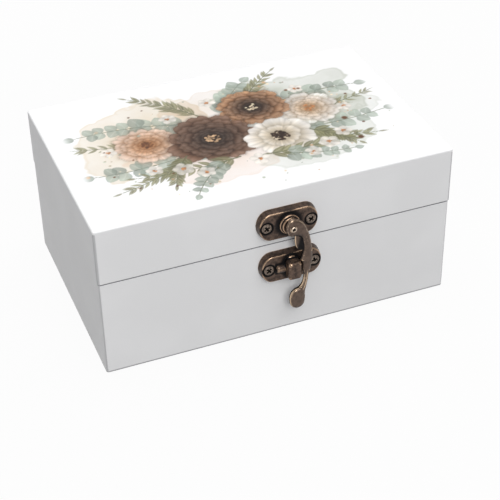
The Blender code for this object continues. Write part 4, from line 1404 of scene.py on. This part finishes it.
@dataclass
class Screw:
    """A cross-head screw, drawn with z = 0 at the face that it is driven into."""

    head: Head
    head_radius: float
    crown: float
    shank_radius: float
    length: float
    rim: float = 0.3 * MM
    sink: float = 1.3 * MM
    cross_size: Place = (0.8, 0.27, 0.5)
    cross_taper: Place = (0.4, 0.6, 1)
    # Where the cross recess and the head's rim are marked for painted shade.
    recess_depth: float = 0.12 * MM
    recess_reach: float = 0.84
    dark_rim: float = 0.92
    wear_radius: float = 0.16 * MM

    def profile(self) -> list[Point]:
        """Half outline from the crown down to the point."""
        steps = 8
        if self.head is Head.COUNTERSUNK:
            crown = [
                (self.head_radius * n / steps, self.crown * (1 - (n / steps) ** 2.4)) for n in range(steps)
            ]
            edge = [(self.head_radius, -0.08 * MM), (self.head_radius, -self.rim)]
            neck = -self.rim - self.sink
        else:
            crown = [
                (self.head_radius * math.sin(QUARTER * n / steps),
                 self.rim + (self.crown - self.rim) * math.cos(QUARTER * n / steps))
                for n in range(steps + 1)
            ]
            edge = [(self.head_radius, 0.0)]
            neck = 0.0
        tip = -self.length
        shank = [(self.shank_radius, neck), (self.shank_radius, tip * 0.7), (0, tip)]
        return crown + edge + shank

    def cross(self, angle: float) -> list[Shape]:
        """The two tapered arms of the cross recess."""
        reach, arm, depth = (self.head_radius * share for share in self.cross_size)
        arms = []
        for turn in (angle, angle + QUARTER):
            shape = block((-reach, -arm, self.crown - depth), (reach, arm, self.crown + OVERRUN))
            low = [vert for vert in shape.verts if vert.co.z < self.crown]
            bmesh.ops.scale(shape, verts=low, vec=self.cross_taper)
            bmesh.ops.rotate(shape, verts=shape.verts, cent=(0, 0, 0), matrix=Matrix.Rotation(turn, 3, "Z"))
            arms.append(shape)
        return arms

    def mesh(self, name: str, angle: float) -> Mesh:
        """Finished screw.

        Args:
            name: Name of the mesh.
            angle: How its cross is turned.

        Returns:
            The screw's mesh with its wear marks, and painted shade in its cross and round its rim.
        """
        blank = mesh_of(turned(self.profile()), name)
        mesh = cut(name, blank, self.cross(angle))
        shade_turned(mesh, self.wear_radius)
        x, y, z = points_of(mesh).T
        away = np.hypot(x, y)
        # Painted shade in the cross recess and round the head's rim.
        face = self.crown * (1 - (away / self.head_radius) ** 2) - self.recess_depth
        recess = (z < face) & (away < self.head_radius * self.recess_reach)
        darken(mesh, np.maximum(recess, 0.8 * (away > self.head_radius * self.dark_rim)))
        return mesh

    def drive(self, palette: Palette, node: str, body: str, angle: float, matrix: Matrix) -> None:
        """Put the screw in place of a CAD node, its cross turned by an angle."""
        name = f"{node}_driven"
        mesh = self.mesh(name, angle)
        add_piece(name, mesh, palette.screw_bronze, body, node, matrix)


@dataclass
class LatchPlate:
    """A cast plate with round ends, sloping sides and a fine raised rim."""

    width: float
    height: float = 14.0 * MM
    drop: float = 0.35 * MM
    thickness: float = 3.6 * MM
    end_length: float = 5.6 * MM
    slope: float = 0.5 * MM
    edge_radius: float = 0.5 * MM
    screw_inset: float = 3.7 * MM
    rim_width: float = 0.35 * MM
    face_sink: float = 0.16 * MM
    ring_steps: int = 96
    grain: float = 0.125 * MM
    hole_radius: float = 2.7 * MM
    shank_hole_radius: float = 1.15 * MM
    countersink: Point = (0.6 * MM, 1.9 * MM)

    def ring(self, shape: Shape, inset: float, height: float) -> list[Edge]:
        """Add the plate's outline, moved inwards and lifted.

        Args:
            shape: The shape that gets it.
            inset: How far inside the outermost outline it runs.
            height: How high it lies.

        Returns:
            Its edges.
        """
        straight = self.width / 2 - self.end_length
        verts = bmesh.ops.create_circle(shape, cap_ends=False, segments=self.ring_steps, radius=1)["verts"]
        bmesh.ops.scale(shape, verts=verts, vec=(self.end_length - inset, self.height / 2 - inset, 1))
        for sign in (-1, 1):
            half = [vert for vert in verts if vert.co.x * sign > MERGE_DISTANCE]
            bmesh.ops.translate(shape, verts=half, vec=(sign * straight, 0, 0))
        bmesh.ops.translate(shape, verts=verts, vec=(0, -self.drop, height))
        return list({edge for vert in verts for edge in vert.link_edges})

    def shape(self) -> Shape:
        """The bare plate, z = 0 on the wall's side."""
        shape = bmesh.new()
        top, radius = self.thickness, self.edge_radius
        shoulder = arc((self.slope + radius, top - radius), radius, math.pi, -QUARTER, 6)
        land = self.slope + radius + self.rim_width
        sections = [(0, 0), *shoulder, (land, top), (land + self.face_sink, top - self.face_sink)]
        rings = [self.ring(shape, inset, height) for inset, height in sections]
        for outer, inner in zip(rings, rings[1:]):
            bmesh.ops.bridge_loops(shape, edges=outer + inner)
        for ring in (rings[0], rings[-1]):
            bmesh.ops.contextual_create(shape, geom=ring)
        return shape

    def screw_spots(self) -> tuple[Point, Point]:
        """Where the two screws go."""
        out = self.width / 2 - self.screw_inset
        return (-out, -self.drop), (out, -self.drop)

    def hole(self, spot: Point) -> Shape:
        """Countersunk hole for a screw at a spot."""
        face = self.thickness - self.face_sink
        above, (straight, cone) = face + 3 * MM, self.countersink
        profile = [
            (0, above), (self.hole_radius, above), (self.hole_radius, face - straight),
            (self.shank_hole_radius, face - cone), (self.shank_hole_radius, -OVERRUN), (0, -OVERRUN),
        ]
        shape = turned(profile, 48)
        bmesh.ops.translate(shape, verts=shape.verts, vec=(*spot, 0))
        return shape

    def hole_start(self) -> float:
        """How far from the plate's middle its screw holes begin."""
        return self.width / 2 - self.screw_inset - self.hole_radius

    def cast(self, name: str, shape: Shape) -> Mesh:
        """Cast the plate as one with what stands on it, with its screw holes open."""
        holes = [self.hole(spot) for spot in self.screw_spots()]
        drilled = cut(f"{name}_drilled", mesh_of(shape, f"{name}_pattern"), holes)
        return cast(name, drilled, self.grain, 3)


@dataclass
class Latch:
    """The horn latch: a hook that swings on the lid's plate and closes on the base's post."""

    hook_pivot: Place = (2.2 * MM, -53.0 * MM, 57.8 * MM)
    catch_place: Place = (3.6 * MM, -52.7 * MM, 35.9 * MM)
    post_offset: float = -0.5 * MM
    hook_plate: LatchPlate = field(default_factory=lambda: LatchPlate(27.3 * MM))
    catch_plate: LatchPlate = field(default_factory=lambda: LatchPlate(28.3 * MM))
    drum_radius: float = 4.6 * MM
    drum_rise: float = 2.4 * MM
    step_radius: float = 3.85 * MM
    step_rise: float = 1.3 * MM
    drum_round: float = 0.4 * MM
    drum_foot: Point = (0.5 * MM, 0.34 * MM)
    running_gap: float = 0.2 * MM
    hook_thickness: float = 2.4 * MM
    post_size: Point = (6.0 * MM, 8.6 * MM)
    post_rise: float = 5.6 * MM
    post_corner: float = 1.4 * MM
    post_bevel: float = 1.25 * MM
    boss_size: Point = (3.7 * MM, 5.3 * MM)
    boss_rise: float = 1.2 * MM
    boss_round: float = 0.6 * MM
    rib_radius: float = 2.0 * MM
    rib_rise: float = 2.0 * MM
    eye_size: Point = (5.8 * MM, 8.8 * MM)
    arm_width: float = 4.25 * MM
    notch_gap: float = 0.3 * MM
    cusp_reach: float = 0.6 * MM
    crown: float = 0.9 * MM
    crown_reach: float = 1.9 * MM
    tail_drop: float = 16.1 * MM
    hook_edge: float = 0.5 * MM
    hook_grain: float = 0.115 * MM
    bore_radius: float = 1.25 * MM
    web_edge: float = 0.35 * MM
    wear_radius: float = 0.42 * MM
    screw_sink: float = 0.05 * MM
    rivet_radius: float = 1.1 * MM
    rivet_rise: float = 0.15 * MM
    rivet_hollow: float = 0.5 * MM
    rivet_ring: Place = (0.95 * MM, 0.1 * MM, 0.4 * MM)
    # Painted shade on the plates' faces beside the drum, the boss and the ribs.
    plate_painted_shade: float = 0.7
    post_polish: float = 0.3
    rib_polish: float = 0.45
    web_low: float = 0.3 * MM
    web_high: float = 1.1 * MM
    outer_shares: tuple[Point, ...] = (
        (0.54, 0.045), (0.79, -0.059), (0.96, -0.171), (1.05, -0.307), (1.07, -0.396), (1.01, -0.490),
        (0.89, -0.592), (0.79, -0.712), (0.69, -0.804), (0.68, -0.906), (0.56, -0.974), (0.23, -1.000),
        (-0.05, -0.967), (-0.143, -0.894), (-0.119, -0.823), (0.10, -0.764), (0.37, -0.743),
    )
    inner_shares: tuple[Point, ...] = (
        (0.500, -0.366), (0.590, -0.288), (0.567, -0.208), (0.440, -0.126),
    )
    web_shares: tuple[Point, ...] = (
        (0.14, -0.06), (0.14, -0.13), (0.15, -0.20), (0.22, -0.25), (0.42, -0.288), (0.66, -0.305),
        (0.76, -0.20), (0.60, -0.07), (0.36, -0.01),
    )
    screw: Screw = field(default_factory=lambda: Screw(
        Head.COUNTERSUNK, 2.4 * MM, 0.36 * MM, 1.0 * MM, 8.9 * MM
    ))

    def plate_with_drum(self) -> Mesh:
        """The lid's plate, fused with the stepped drum that the hook turns on."""
        plate = self.hook_plate
        top = plate.thickness + self.drum_rise
        step = plate.thickness + self.step_rise
        fillet, lift = self.drum_foot
        foot = arc((self.drum_radius + fillet, plate.thickness + lift), fillet, math.pi, QUARTER, 6)
        profile = [
            (0, top), *rounded(self.step_radius, top, self.drum_round), (self.step_radius, step),
            *rounded(self.drum_radius, step, self.drum_round), *foot, (foot[-1][0], OVERRUN), (0, OVERRUN),
        ]
        shape = plate.shape()
        join(shape, turned(profile))
        return plate.cast("lid_latch_plate", shape)

    def plate_with_post(self) -> Mesh:
        """The base's plate, fused with its boss, ribs and post."""
        plate = self.catch_plate
        shape = plate.shape()
        boss_top = plate.thickness + self.boss_rise
        across, up = self.boss_size
        profile = [(0, boss_top), *rounded(up, boss_top, self.boss_round), (up, OVERRUN), (0, OVERRUN)]
        middle = Matrix.Translation((self.post_offset, 0, 0))
        join(shape, turned(profile), middle @ Matrix.Diagonal((across / up, 1, 1, 1)))
        join(shape, self.post(), middle)
        for sign in (-1, 1):
            join(shape, self.rib(sign))
        return plate.cast("base_latch_plate", shape)

    def post(self) -> Shape:
        """The block that the hook closes on, its face bevelled all round."""
        width, height = self.post_size
        top = self.catch_plate.thickness + self.post_rise
        shape = block((-width / 2, -height / 2, OVERRUN), (width / 2, height / 2, top))
        upright = [edge for edge in shape.edges if not square_to(edge, 2)]
        bevel(shape, upright, self.post_corner, 6)
        bevel(shape, rim_of(shape, top), self.post_bevel, 6)
        return shape

    def rib(self, sign: int) -> Shape:
        """A half-round rib from the post towards a screw, with a round end."""
        plate = self.catch_plate
        end = plate.hole_start() - 0.15 * MM
        shape = rod(self.rib_radius, 0, end, 32)
        tip = edges_where(shape, lambda p: near(p.z, end))
        bevel(shape, tip, self.rib_radius * 0.7, 6)
        turn = Matrix.Rotation(sign * QUARTER, 4, "Y")
        lift = Matrix.Translation((0, -plate.drop, plate.thickness + self.rib_rise - self.rib_radius))
        bmesh.ops.transform(shape, matrix=lift @ turn, verts=shape.verts)
        return shape

    def hook_back(self) -> float:
        """How far the hook's back stands off the lid."""
        return self.hook_plate.thickness + self.drum_rise + self.running_gap

    def notch(self) -> Point:
        """Where the notch meets the middle of the post's side, from the pivot."""
        post_x = self.catch_place[0] + self.post_offset - self.hook_pivot[0]
        return post_x + self.post_size[0] / 2 + self.notch_gap, self.catch_place[2] - self.hook_pivot[2]

    def from_shares(self, shares: Sequence[Point]) -> list[Point]:
        """Points round the pivot, from shares of the hook's reach and of its drop."""
        notch_x, notch_y = self.notch()
        reach, drop = notch_x + self.arm_width, self.post_size[1] / 2 + self.tail_drop - notch_y
        return [(x * reach, y * drop) for x, y in shares]

    def hook_outline(self) -> tuple[list[Point], int]:
        """Points round the hook from its pivot, and the number of its one sharp corner."""
        notch_x, notch_y = self.notch()
        half_height = self.post_size[1] / 2
        outer = self.from_shares(self.outer_shares)
        lip = (notch_x + 1.0 * MM, notch_y - half_height)
        bow = (notch_x + 0.2 * MM, notch_y)
        shoulder = (notch_x + 0.1 * MM, notch_y + half_height - 1.4 * MM)
        cusp = (notch_x - self.cusp_reach, notch_y + half_height + 0.3 * MM)
        notch_side = [lip, bow, shoulder, cusp]
        inner = self.from_shares(self.inner_shares)
        opening = math.radians(72)
        round_eye = arc((0, 0), 1, -opening, 2 * opening - math.tau, 6)
        eye = [(x * self.eye_size[0] / 2, y * self.eye_size[1] / 2) for x, y in round_eye]
        return outer + notch_side + inner + eye, len(outer + notch_side) - 1

    def hook(self) -> Mesh:
        """The swinging hook, its face softly crowned and its tail domed, with a web under its eye."""
        points, corner = self.hook_outline()
        body = self.hook_thickness - self.crown
        shape = outlined("hook_outline", points, 0, body, corner)
        border = np.array([vert.co[:2] for vert in shape.verts if near(vert.co.z, 0)])
        for height in (0, body):
            bevel(shape, rim_of(shape, height), self.hook_edge, 4)
        web = outlined("web_outline", self.from_shares(self.web_shares), self.web_low, self.web_high)
        bevel(web, rim_of(web, self.web_high), self.web_edge, 4)
        join(shape, web)
        bore = rod(self.bore_radius, -OVERRUN, self.hook_thickness + OVERRUN)
        mesh = cut("hook", mesh_of(shape, "hook"), [bore])
        mesh = cast("horn_hook", mesh, self.hook_grain, 6)
        self.dome(mesh, border, body)
        return mesh

    def dome(self, mesh: Mesh, border: Array, body: float) -> None:
        """Raise the hook's face towards the middle of its width.

        Args:
            mesh: The hook, its flat back at z = 0.
            border: Points along its outline.
            body: Its thickness at the rim.
        """
        places = points_of(mesh)
        away = np.empty(len(places))
        for start in range(0, len(places), POINTS_AT_ONCE):
            chosen = slice(start, start + POINTS_AT_ONCE)
            part = places[chosen, None, :2] - border[None]
            away[chosen] = np.sqrt((part**2).sum(2).min(1))
        inwards = 1 - np.clip(away / self.crown_reach, 0, 1)
        places[:, 2] += self.crown * (1 - inwards**2) * ease(places[:, 2], 0.78 * body, body)
        mesh.vertices.foreach_set("co", places.ravel())
        mesh.update()

    def rivet(self) -> Mesh:
        """The rivet that holds the hook, its end rolled over into a ring."""
        face = self.hook_back() + self.hook_thickness + self.rivet_rise
        out, lift, roll = self.rivet_ring
        ring = arc((out, face + lift), roll, math.pi, -math.pi, 12)
        stem = [(self.rivet_radius, face), (self.rivet_radius, 0), (0, 0)]
        profile = [(0, face), (self.rivet_hollow, face), *ring, *stem]
        mesh = mesh_of(turned(profile, 48), "hook_rivet_head")
        shade_turned(mesh, 0.3 * MM)
        return mesh

    def painted_shade_in_holes(self, plate: LatchPlate, places: Array) -> Array:
        """Share of painted shade in a plate's screw holes, at each point."""
        x, y, z = places.T
        share = np.zeros(len(places))
        for spot in plate.screw_spots():
            past_rim = np.hypot(x - spot[0], y - spot[1]) - plate.hole_radius
            ring = 1 - ease(past_rim, 0.15 * MM, 0.75 * MM)
            share = np.maximum(share, ring * (z > 0.1 * MM))
        return share

    def painted_shade_round_drum(self, places: Array) -> Array:
        """Share of painted shade on the lid's plate: in its holes and on its face beside the drum."""
        x, y, z = places.T
        face = z < self.hook_plate.thickness + 0.3 * MM
        beside = 1 - ease(np.hypot(x, y) - self.drum_radius, 0.4 * MM, 3.4 * MM)
        share = self.plate_painted_shade * beside * face
        return np.maximum(self.painted_shade_in_holes(self.hook_plate, places), share)

    def past_post(self, places: Array) -> Array:
        """How far each point of the base's plate lies outside the post, to the side."""
        x, y = np.abs(places[:, 0] - self.post_offset), np.abs(places[:, 1])
        return np.maximum(x - self.post_size[0] / 2, y - self.post_size[1] / 2)

    def painted_shade_round_post(self, places: Array) -> Array:
        """Share of painted shade on the base's plate: in its holes, beside its boss and beside its ribs."""
        plate = self.catch_plate
        across, up = self.boss_size
        x, y, z = places.T
        above = z - plate.thickness
        face = (above < 0.25 * MM) & (above > -0.3 * MM)
        beside = 1 - ease(np.hypot((x - self.post_offset) / across, y / up), 1.05, 1.6)
        along = 1 - ease(np.abs(y + plate.drop) - self.rib_radius, 0.2 * MM, 1.8 * MM)
        along = along * (np.abs(x) < plate.hole_start())
        ledge = (above > 0) & (above < self.boss_rise + 0.4 * MM)
        corner = ledge * (1 - ease(self.past_post(places), 0.25 * MM, 0.7 * MM))
        share = np.maximum(self.plate_painted_shade * face * np.maximum(beside, along), corner)
        return np.maximum(self.painted_shade_in_holes(plate, places), share)

    def polish_of_hook(self, places: Array) -> Array:
        """Share of bare metal on the hook: round the rim of its lower arm and tail, where fingers rub."""
        rim = hump(places[:, 2], (0.9 * MM, 1.1 * MM), (1.5 * MM, 1.75 * MM))
        return rim * (1 - ease(places[:, 1] - self.notch()[1], -6 * MM, -1 * MM))

    def polish_of_post(self, places: Array) -> Array:
        """Share of bare metal on the base's plate: on the post's face and along the ribs."""
        above = places[:, 2] - self.catch_plate.thickness
        post = self.post_polish * (above > self.post_rise - 1.1 * MM)
        rib = self.rib_polish * ease(above - self.rib_rise, -0.5 * MM, -0.1 * MM)
        return np.maximum(post, rib * (self.past_post(places) > 0))

    def painted_shade_of_hook(self, places: Array) -> Array:
        """Share of painted shade on the hook: on its sides and on its web, more so towards the arm."""
        x, y, z = places.T
        notch_x, notch_y = self.notch()
        reach = notch_x + self.arm_width
        sides = hump(z, (0.1 * MM, 0.35 * MM), (0.7 * MM, 1.05 * MM))
        low = (z < self.web_high + 0.15 * MM) & (z > self.web_low + 0.3 * MM)
        under_eye = (y < -self.eye_size[1] / 2 - 0.3 * MM) & (y > notch_y + 5 * MM)
        towards_arm = ease(x - 0.25 * y, 0.42 * reach, 0.78 * reach)
        return np.where(low & under_eye, towards_arm, sides)

    def build(self, palette: Palette) -> None:
        """Make, dress and place the latch's pieces."""
        x, y, z = self.hook_pivot
        castings = (
            ("lid_latch_plate", "lid", "hook_plate", self.hook_pivot, palette.bronze,
             self.plate_with_drum, self.painted_shade_round_drum, None),
            ("base_latch_plate", "base", "catch_plate", self.catch_place, palette.bronze,
             self.plate_with_post, self.painted_shade_round_post, self.polish_of_post),
            ("horn_hook", "hook", "swing_hook", (x, y - self.hook_back(), z), palette.handled_bronze,
             self.hook, self.painted_shade_of_hook, self.polish_of_hook),
        )
        for name, body, node, place, finish, make, tarnish_and_shade, rubbed in castings:
            mesh = make()
            mesh.shade_smooth()
            mark_edges_and_hollows(mesh, self.wear_radius)
            places = points_of(mesh)
            # Painted shade in the screw holes, beside raised parts and on the hook's sides and web.
            darken(mesh, tarnish_and_shade(places))
            if rubbed:
                polish(mesh, rubbed(places))
            add_piece(name, mesh, finish, body, node, Facing.FRONT.at(place))
        place = Facing.FRONT.at(self.hook_pivot)
        rivet = self.rivet()
        add_piece("hook_rivet_head", rivet, palette.screw_bronze, "lid", "hook_rivet", place)
        self.build_screws(palette)

    def build_screws(self, palette: Palette) -> None:
        """Drive two screws into each plate, their crosses turned as they stopped."""
        for prefix, plate, (x, y, z), body, turns in (
            ("hook", self.hook_plate, self.hook_pivot, "lid", (0.55, 0.9)),
            ("catch", self.catch_plate, self.catch_place, "base", (0.75, 0.2)),
        ):
            face = plate.thickness - self.screw_sink
            for side, (right, up), turn in zip(("left", "right"), plate.screw_spots(), turns):
                place = Facing.FRONT.at((x + right, y - face, z + up))
                self.screw.drive(palette, f"{prefix}_plate_{side}_screw", body, turn, place)


@dataclass
class Hinges:
    """Two butt hinges on the back: rolled leaves, a pin and four screws each."""

    axis: Place = (0, 54.5 * MM, 46.4 * MM)
    spacing: float = 90 * MM
    length: float = 20 * MM
    leaf_height: float = 9 * MM
    thickness: float = 0.8 * MM
    bore: float = 1.0 * MM
    pin_radius: float = 0.9 * MM
    pin_stick_out: float = 0.3 * MM
    pin_round: float = 0.28 * MM
    knuckle_gap: float = 0.15 * MM
    curl: float = math.radians(290)
    corner_radius: float = 1.2 * MM
    screw_spacing: float = 11 * MM
    screw_drop: float = 5.5 * MM
    seat_gap: float = 0.1 * MM
    grain: float = 0.12 * MM
    wear_radius: float = 0.3 * MM
    screw: Screw = field(default_factory=lambda: Screw(
        Head.ROUND, 1.6 * MM, 0.65 * MM, 0.75 * MM, 6.2 * MM, rim=0.2 * MM
    ))

    def leaf(self, name: str, up: int) -> Mesh:
        """One leaf, drawn from behind round the pin's axis, which lies along X.

        Args:
            name: Name of the mesh.
            up: 1 for the lid's leaf and -1 for the base's.

        Returns:
            The finished leaf.
        """
        outer = self.bore + self.thickness
        shape = bmesh.new()
        low = shape.verts.new((-self.length / 2, 0, -outer))
        high = shape.verts.new((-self.length / 2, 0, -self.bore))
        edge = shape.edges.new((low, high))
        bmesh.ops.spin(
            shape, geom=[low, high, edge], cent=(0, 0, 0), axis=(1, 0, 0), angle=self.curl * up,
            steps=40, use_merge=False,
        )
        shape.edges.ensure_lookup_table()
        first = [e for e in shape.edges if all(near(v.co.y, 0) and v.co.z < 0 for v in e.verts)]
        grown = bmesh.ops.extrude_edge_only(shape, edges=first)["geom"]
        drag(shape, grown, (0, up * self.leaf_height, 0))
        grown = bmesh.ops.extrude_face_region(shape, geom=shape.faces[:])["geom"]
        drag(shape, grown, (self.length, 0, 0))
        bmesh.ops.recalc_face_normals(shape, faces=shape.faces)
        far = edges_where(shape, lambda p: near(p.y, up * self.leaf_height))
        bevel(shape, [edge for edge in far if square_to(edge, 0)], self.corner_radius, 6)
        mesh = cut(name, mesh_of(shape, name), self.foreign_knuckles(up))
        mesh = cast(name, mesh, self.grain, 2)
        mesh.shade_smooth()
        mark_edges_and_hollows(mesh, self.wear_radius)
        return mesh

    def foreign_knuckles(self, up: int) -> list[Shape]:
        """Blocks where the other leaf's knuckles go."""
        outer = self.bore + self.thickness
        third = self.length / 3
        near_y, far_y = -outer - OVERRUN, outer + self.knuckle_gap
        low_y, high_y = (near_y, far_y) if up == 1 else (-far_y, -near_y)
        blocks = []
        for number in range(3):
            if (number == 1) == (up == 1):
                continue
            start = -self.length / 2 + number * third - (self.knuckle_gap if number else OVERRUN)
            end = -self.length / 2 + (number + 1) * third + (self.knuckle_gap if number < 2 else OVERRUN)
            blocks.append(block((start, low_y, -outer - OVERRUN), (end, high_y, outer + OVERRUN)))
        return blocks

    def pin(self, name: str) -> Mesh:
        """The pin, its ends peened round."""
        reach = self.length / 2 + self.pin_stick_out
        shape = rod(self.pin_radius, -reach, reach)
        ends = edges_where(shape, lambda p: near(abs(p.z), reach))
        bevel(shape, ends, self.pin_round, 5)
        bmesh.ops.rotate(shape, verts=shape.verts, cent=(0, 0, 0), matrix=Matrix.Rotation(QUARTER, 3, "Y"))
        mesh = mesh_of(shape, name)
        shade_turned(mesh, 0.15 * MM)
        return mesh

    def build(self, palette: Palette) -> None:
        """Make, dress and place both hinges."""
        x, y, z = self.axis
        finish, slot = palette.hinge_bronze, "antique_bronze"
        for side, sign in (("left", -1), ("right", 1)):
            middle = (x + sign * self.spacing / 2, y, z)
            place = Facing.BACK.at(middle)
            hinge = f"{side}_hinge"
            name = f"{hinge}_rod"
            add_piece(name, self.pin(name), finish, "base", f"{hinge}_pin", place)
            for part, up in (("base", -1), ("lid", 1)):
                name = f"{hinge}_{part}_plate"
                add_piece(name, self.leaf(name, up), finish, part, f"{hinge}_{part}_leaf", place)
                self.build_screws(palette, f"{hinge}_{part}", part, up, middle)

    def build_screws(self, palette: Palette, prefix: str, body: str, up: int, middle: Place) -> None:
        """Drive two screws through one leaf."""
        x, y, z = middle
        seat = -self.bore + self.seat_gap
        for number, (side, sign) in enumerate((("left", -1), ("right", 1))):
            place = Facing.BACK.at((x + sign * self.screw_spacing / 2, y + seat, z + up * self.screw_drop))
            turn = 0.3 + 0.5 * number + 0.4 * up
            self.screw.drive(palette, f"{prefix}_{side}_screw", body, turn, place)


def dress_cad_nodes(palette: Palette) -> None:
    """Give the CAD nodes that stay in view their material."""
    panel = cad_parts["base_bottom_panel"]
    for slot in panel.material_slots:
        slot.material = palette.panel
    log.info("base_bottom_panel: kept from the CAD model")


# Studio


@dataclass(frozen=True)
class Softbox:
    """A soft light that points at the box."""

    name: str
    place: Place
    size: Point
    power: float

    def add(self) -> None:
        """Put the light in the studio."""
        light = bpy.data.lights.new(self.name, "AREA")
        light.shape = "RECTANGLE"
        light.size, light.size_y = self.size
        light.energy = self.power
        lamp = new_object(self.name, light)
        lamp.location = self.place
        lamp.rotation_euler = (-Vector(self.place)).to_track_quat("-Z", "Y").to_euler()


@dataclass
class Studio:
    """White floor, soft lights round the box and the camera at the photographed angle."""

    camera_place: Place = (-0.1789, -0.4835, 0.3761)
    forward: Place = (0.29082, 0.75951, -0.58187)
    right: Place = (0.92933, -0.36887, -0.017)
    lens: float = 97.474
    floor_reach: float = 6.0
    floor_colour: Colour = (0.03, 0.03, 0.03)
    floor_glow: float = 0.94
    floor_bounce: float = 0.1
    floor_mottle: float = 0.985
    floor_roughness: float = 0.9
    floor_specular: float = 0.1
    sky: float = 0.26
    sky_seen: float = 0.97
    softboxes: tuple[Softbox, ...] = (
        Softbox("softbox_above", (0.1, 0.1, 1.6), (1.5, 1.5), 16.0),
        Softbox("softbox_in_front", (-0.22, -1.30, 0.90), (0.7, 0.7), 12.4),
        Softbox("strip_high_in_front", (0.05, -0.95, 1.30), (1.5, 0.25), 3.2),
        Softbox("softbox_left", (-1.5, -0.25, 0.55), (0.8, 0.8), 1.7),
        Softbox("softbox_right", (1.6, 0.5, 0.5), (1.0, 1.0), 9.0),
        Softbox("softbox_behind", (-0.25, 1.7, 0.35), (1.0, 1.0), 8.0),
    )

    def build(self) -> None:
        """Set up the floor, the lights and the camera."""
        self.add_floor()
        self.add_sky()
        for softbox in self.softboxes:
            softbox.add()
        self.add_camera()

    def add_floor(self) -> None:
        """A wide white floor that is brighter to look at than the light that it throws back."""
        shape = bmesh.new()
        bmesh.ops.create_grid(shape, x_segments=1, y_segments=1, size=self.floor_reach)
        mesh = mesh_of(shape, "studio_floor")
        floor = new_object("studio_floor", mesh)
        floor.location.z = -0.05 * MM
        material, graph, shader, place = new_material("studio_floor")
        mottle = graph.noise(place, 3.0, detail=2)
        darker = tuple(self.floor_mottle * value for value in self.floor_colour)
        colour = graph.mix(mottle, self.floor_colour, darker)
        path = graph.add("LightPath")
        seen = graph.math("MAXIMUM", path.outputs["Is Camera Ray"], path.outputs["Is Glossy Ray"])
        glow = graph.math("MULTIPLY_ADD", seen, self.floor_glow - self.floor_bounce, self.floor_bounce)
        graph.feed(shader, {"Base Color": colour, "Emission Strength": glow})
        shader.inputs["Roughness"].default_value = self.floor_roughness
        shader.inputs["Specular IOR Level"].default_value = self.floor_specular
        shader.inputs["Emission Color"].default_value = (1, 1, 1, 1)
        material.cycles.emission_sampling = "NONE"
        mesh.materials.append(material)

    def add_sky(self) -> None:
        """Even light from all round, as pale as the floor where the camera looks past it."""
        world = bpy.data.worlds.new("studio_sky")
        world.use_nodes = True
        graph = Graph(world.node_tree)
        seen = graph.add("LightPath").outputs["Is Camera Ray"]
        strength = graph.add("MapRange", {"Value": seen, "To Min": self.sky, "To Max": self.sky_seen})
        background = graph.tree.nodes["Background"]
        background.inputs["Color"].default_value = (1, 1, 1, 1)
        graph.feed(background, {"Strength": strength.outputs["Result"]})
        bpy.context.scene.world = world

    def add_camera(self) -> None:
        """The camera, fitted to the box's corners in the photograph."""
        camera = bpy.data.cameras.new("photo_camera")
        camera.lens = self.lens
        camera.clip_start = 0.05
        camera.clip_end = 50
        holder = new_object("photo_camera", camera)
        forward = Vector(self.forward).normalized()
        right = Vector(self.right).normalized()
        turn = Matrix((right, right.cross(forward), -forward)).transposed().to_4x4()
        holder.matrix_world = Matrix.Translation(self.camera_place) @ turn
        bpy.context.scene.camera = holder
        bpy.context.scene.view_settings.view_transform = "Standard"


def main() -> None:
    """Build the box in order."""
    logging.basicConfig(level=logging.INFO, format="%(name)s %(message)s")
    palette = Palette()
    dress_cad_nodes(palette)
    BoardFrame(
        "base", "base", 160 * MM, 105 * MM, 0, 0, 46.2 * MM, bottom_radius=0.5 * MM,
        top_radius=0.3 * MM, rabbet=(3.5 * MM, 3.2 * MM),
    ).build(palette)
    BoardFrame(
        "lid", "lid", 160.6 * MM, 105.3 * MM, -0.15 * MM, 46.6 * MM, 22.4 * MM,
        bottom_radius=0.3 * MM, seam_at_top=False,
    ).build(palette)
    LidTop(FlowerPrint()).build(palette)
    Latch().build(palette)
    Hinges().build(palette)
    Studio().build()


if __name__ == "__main__":
    main()
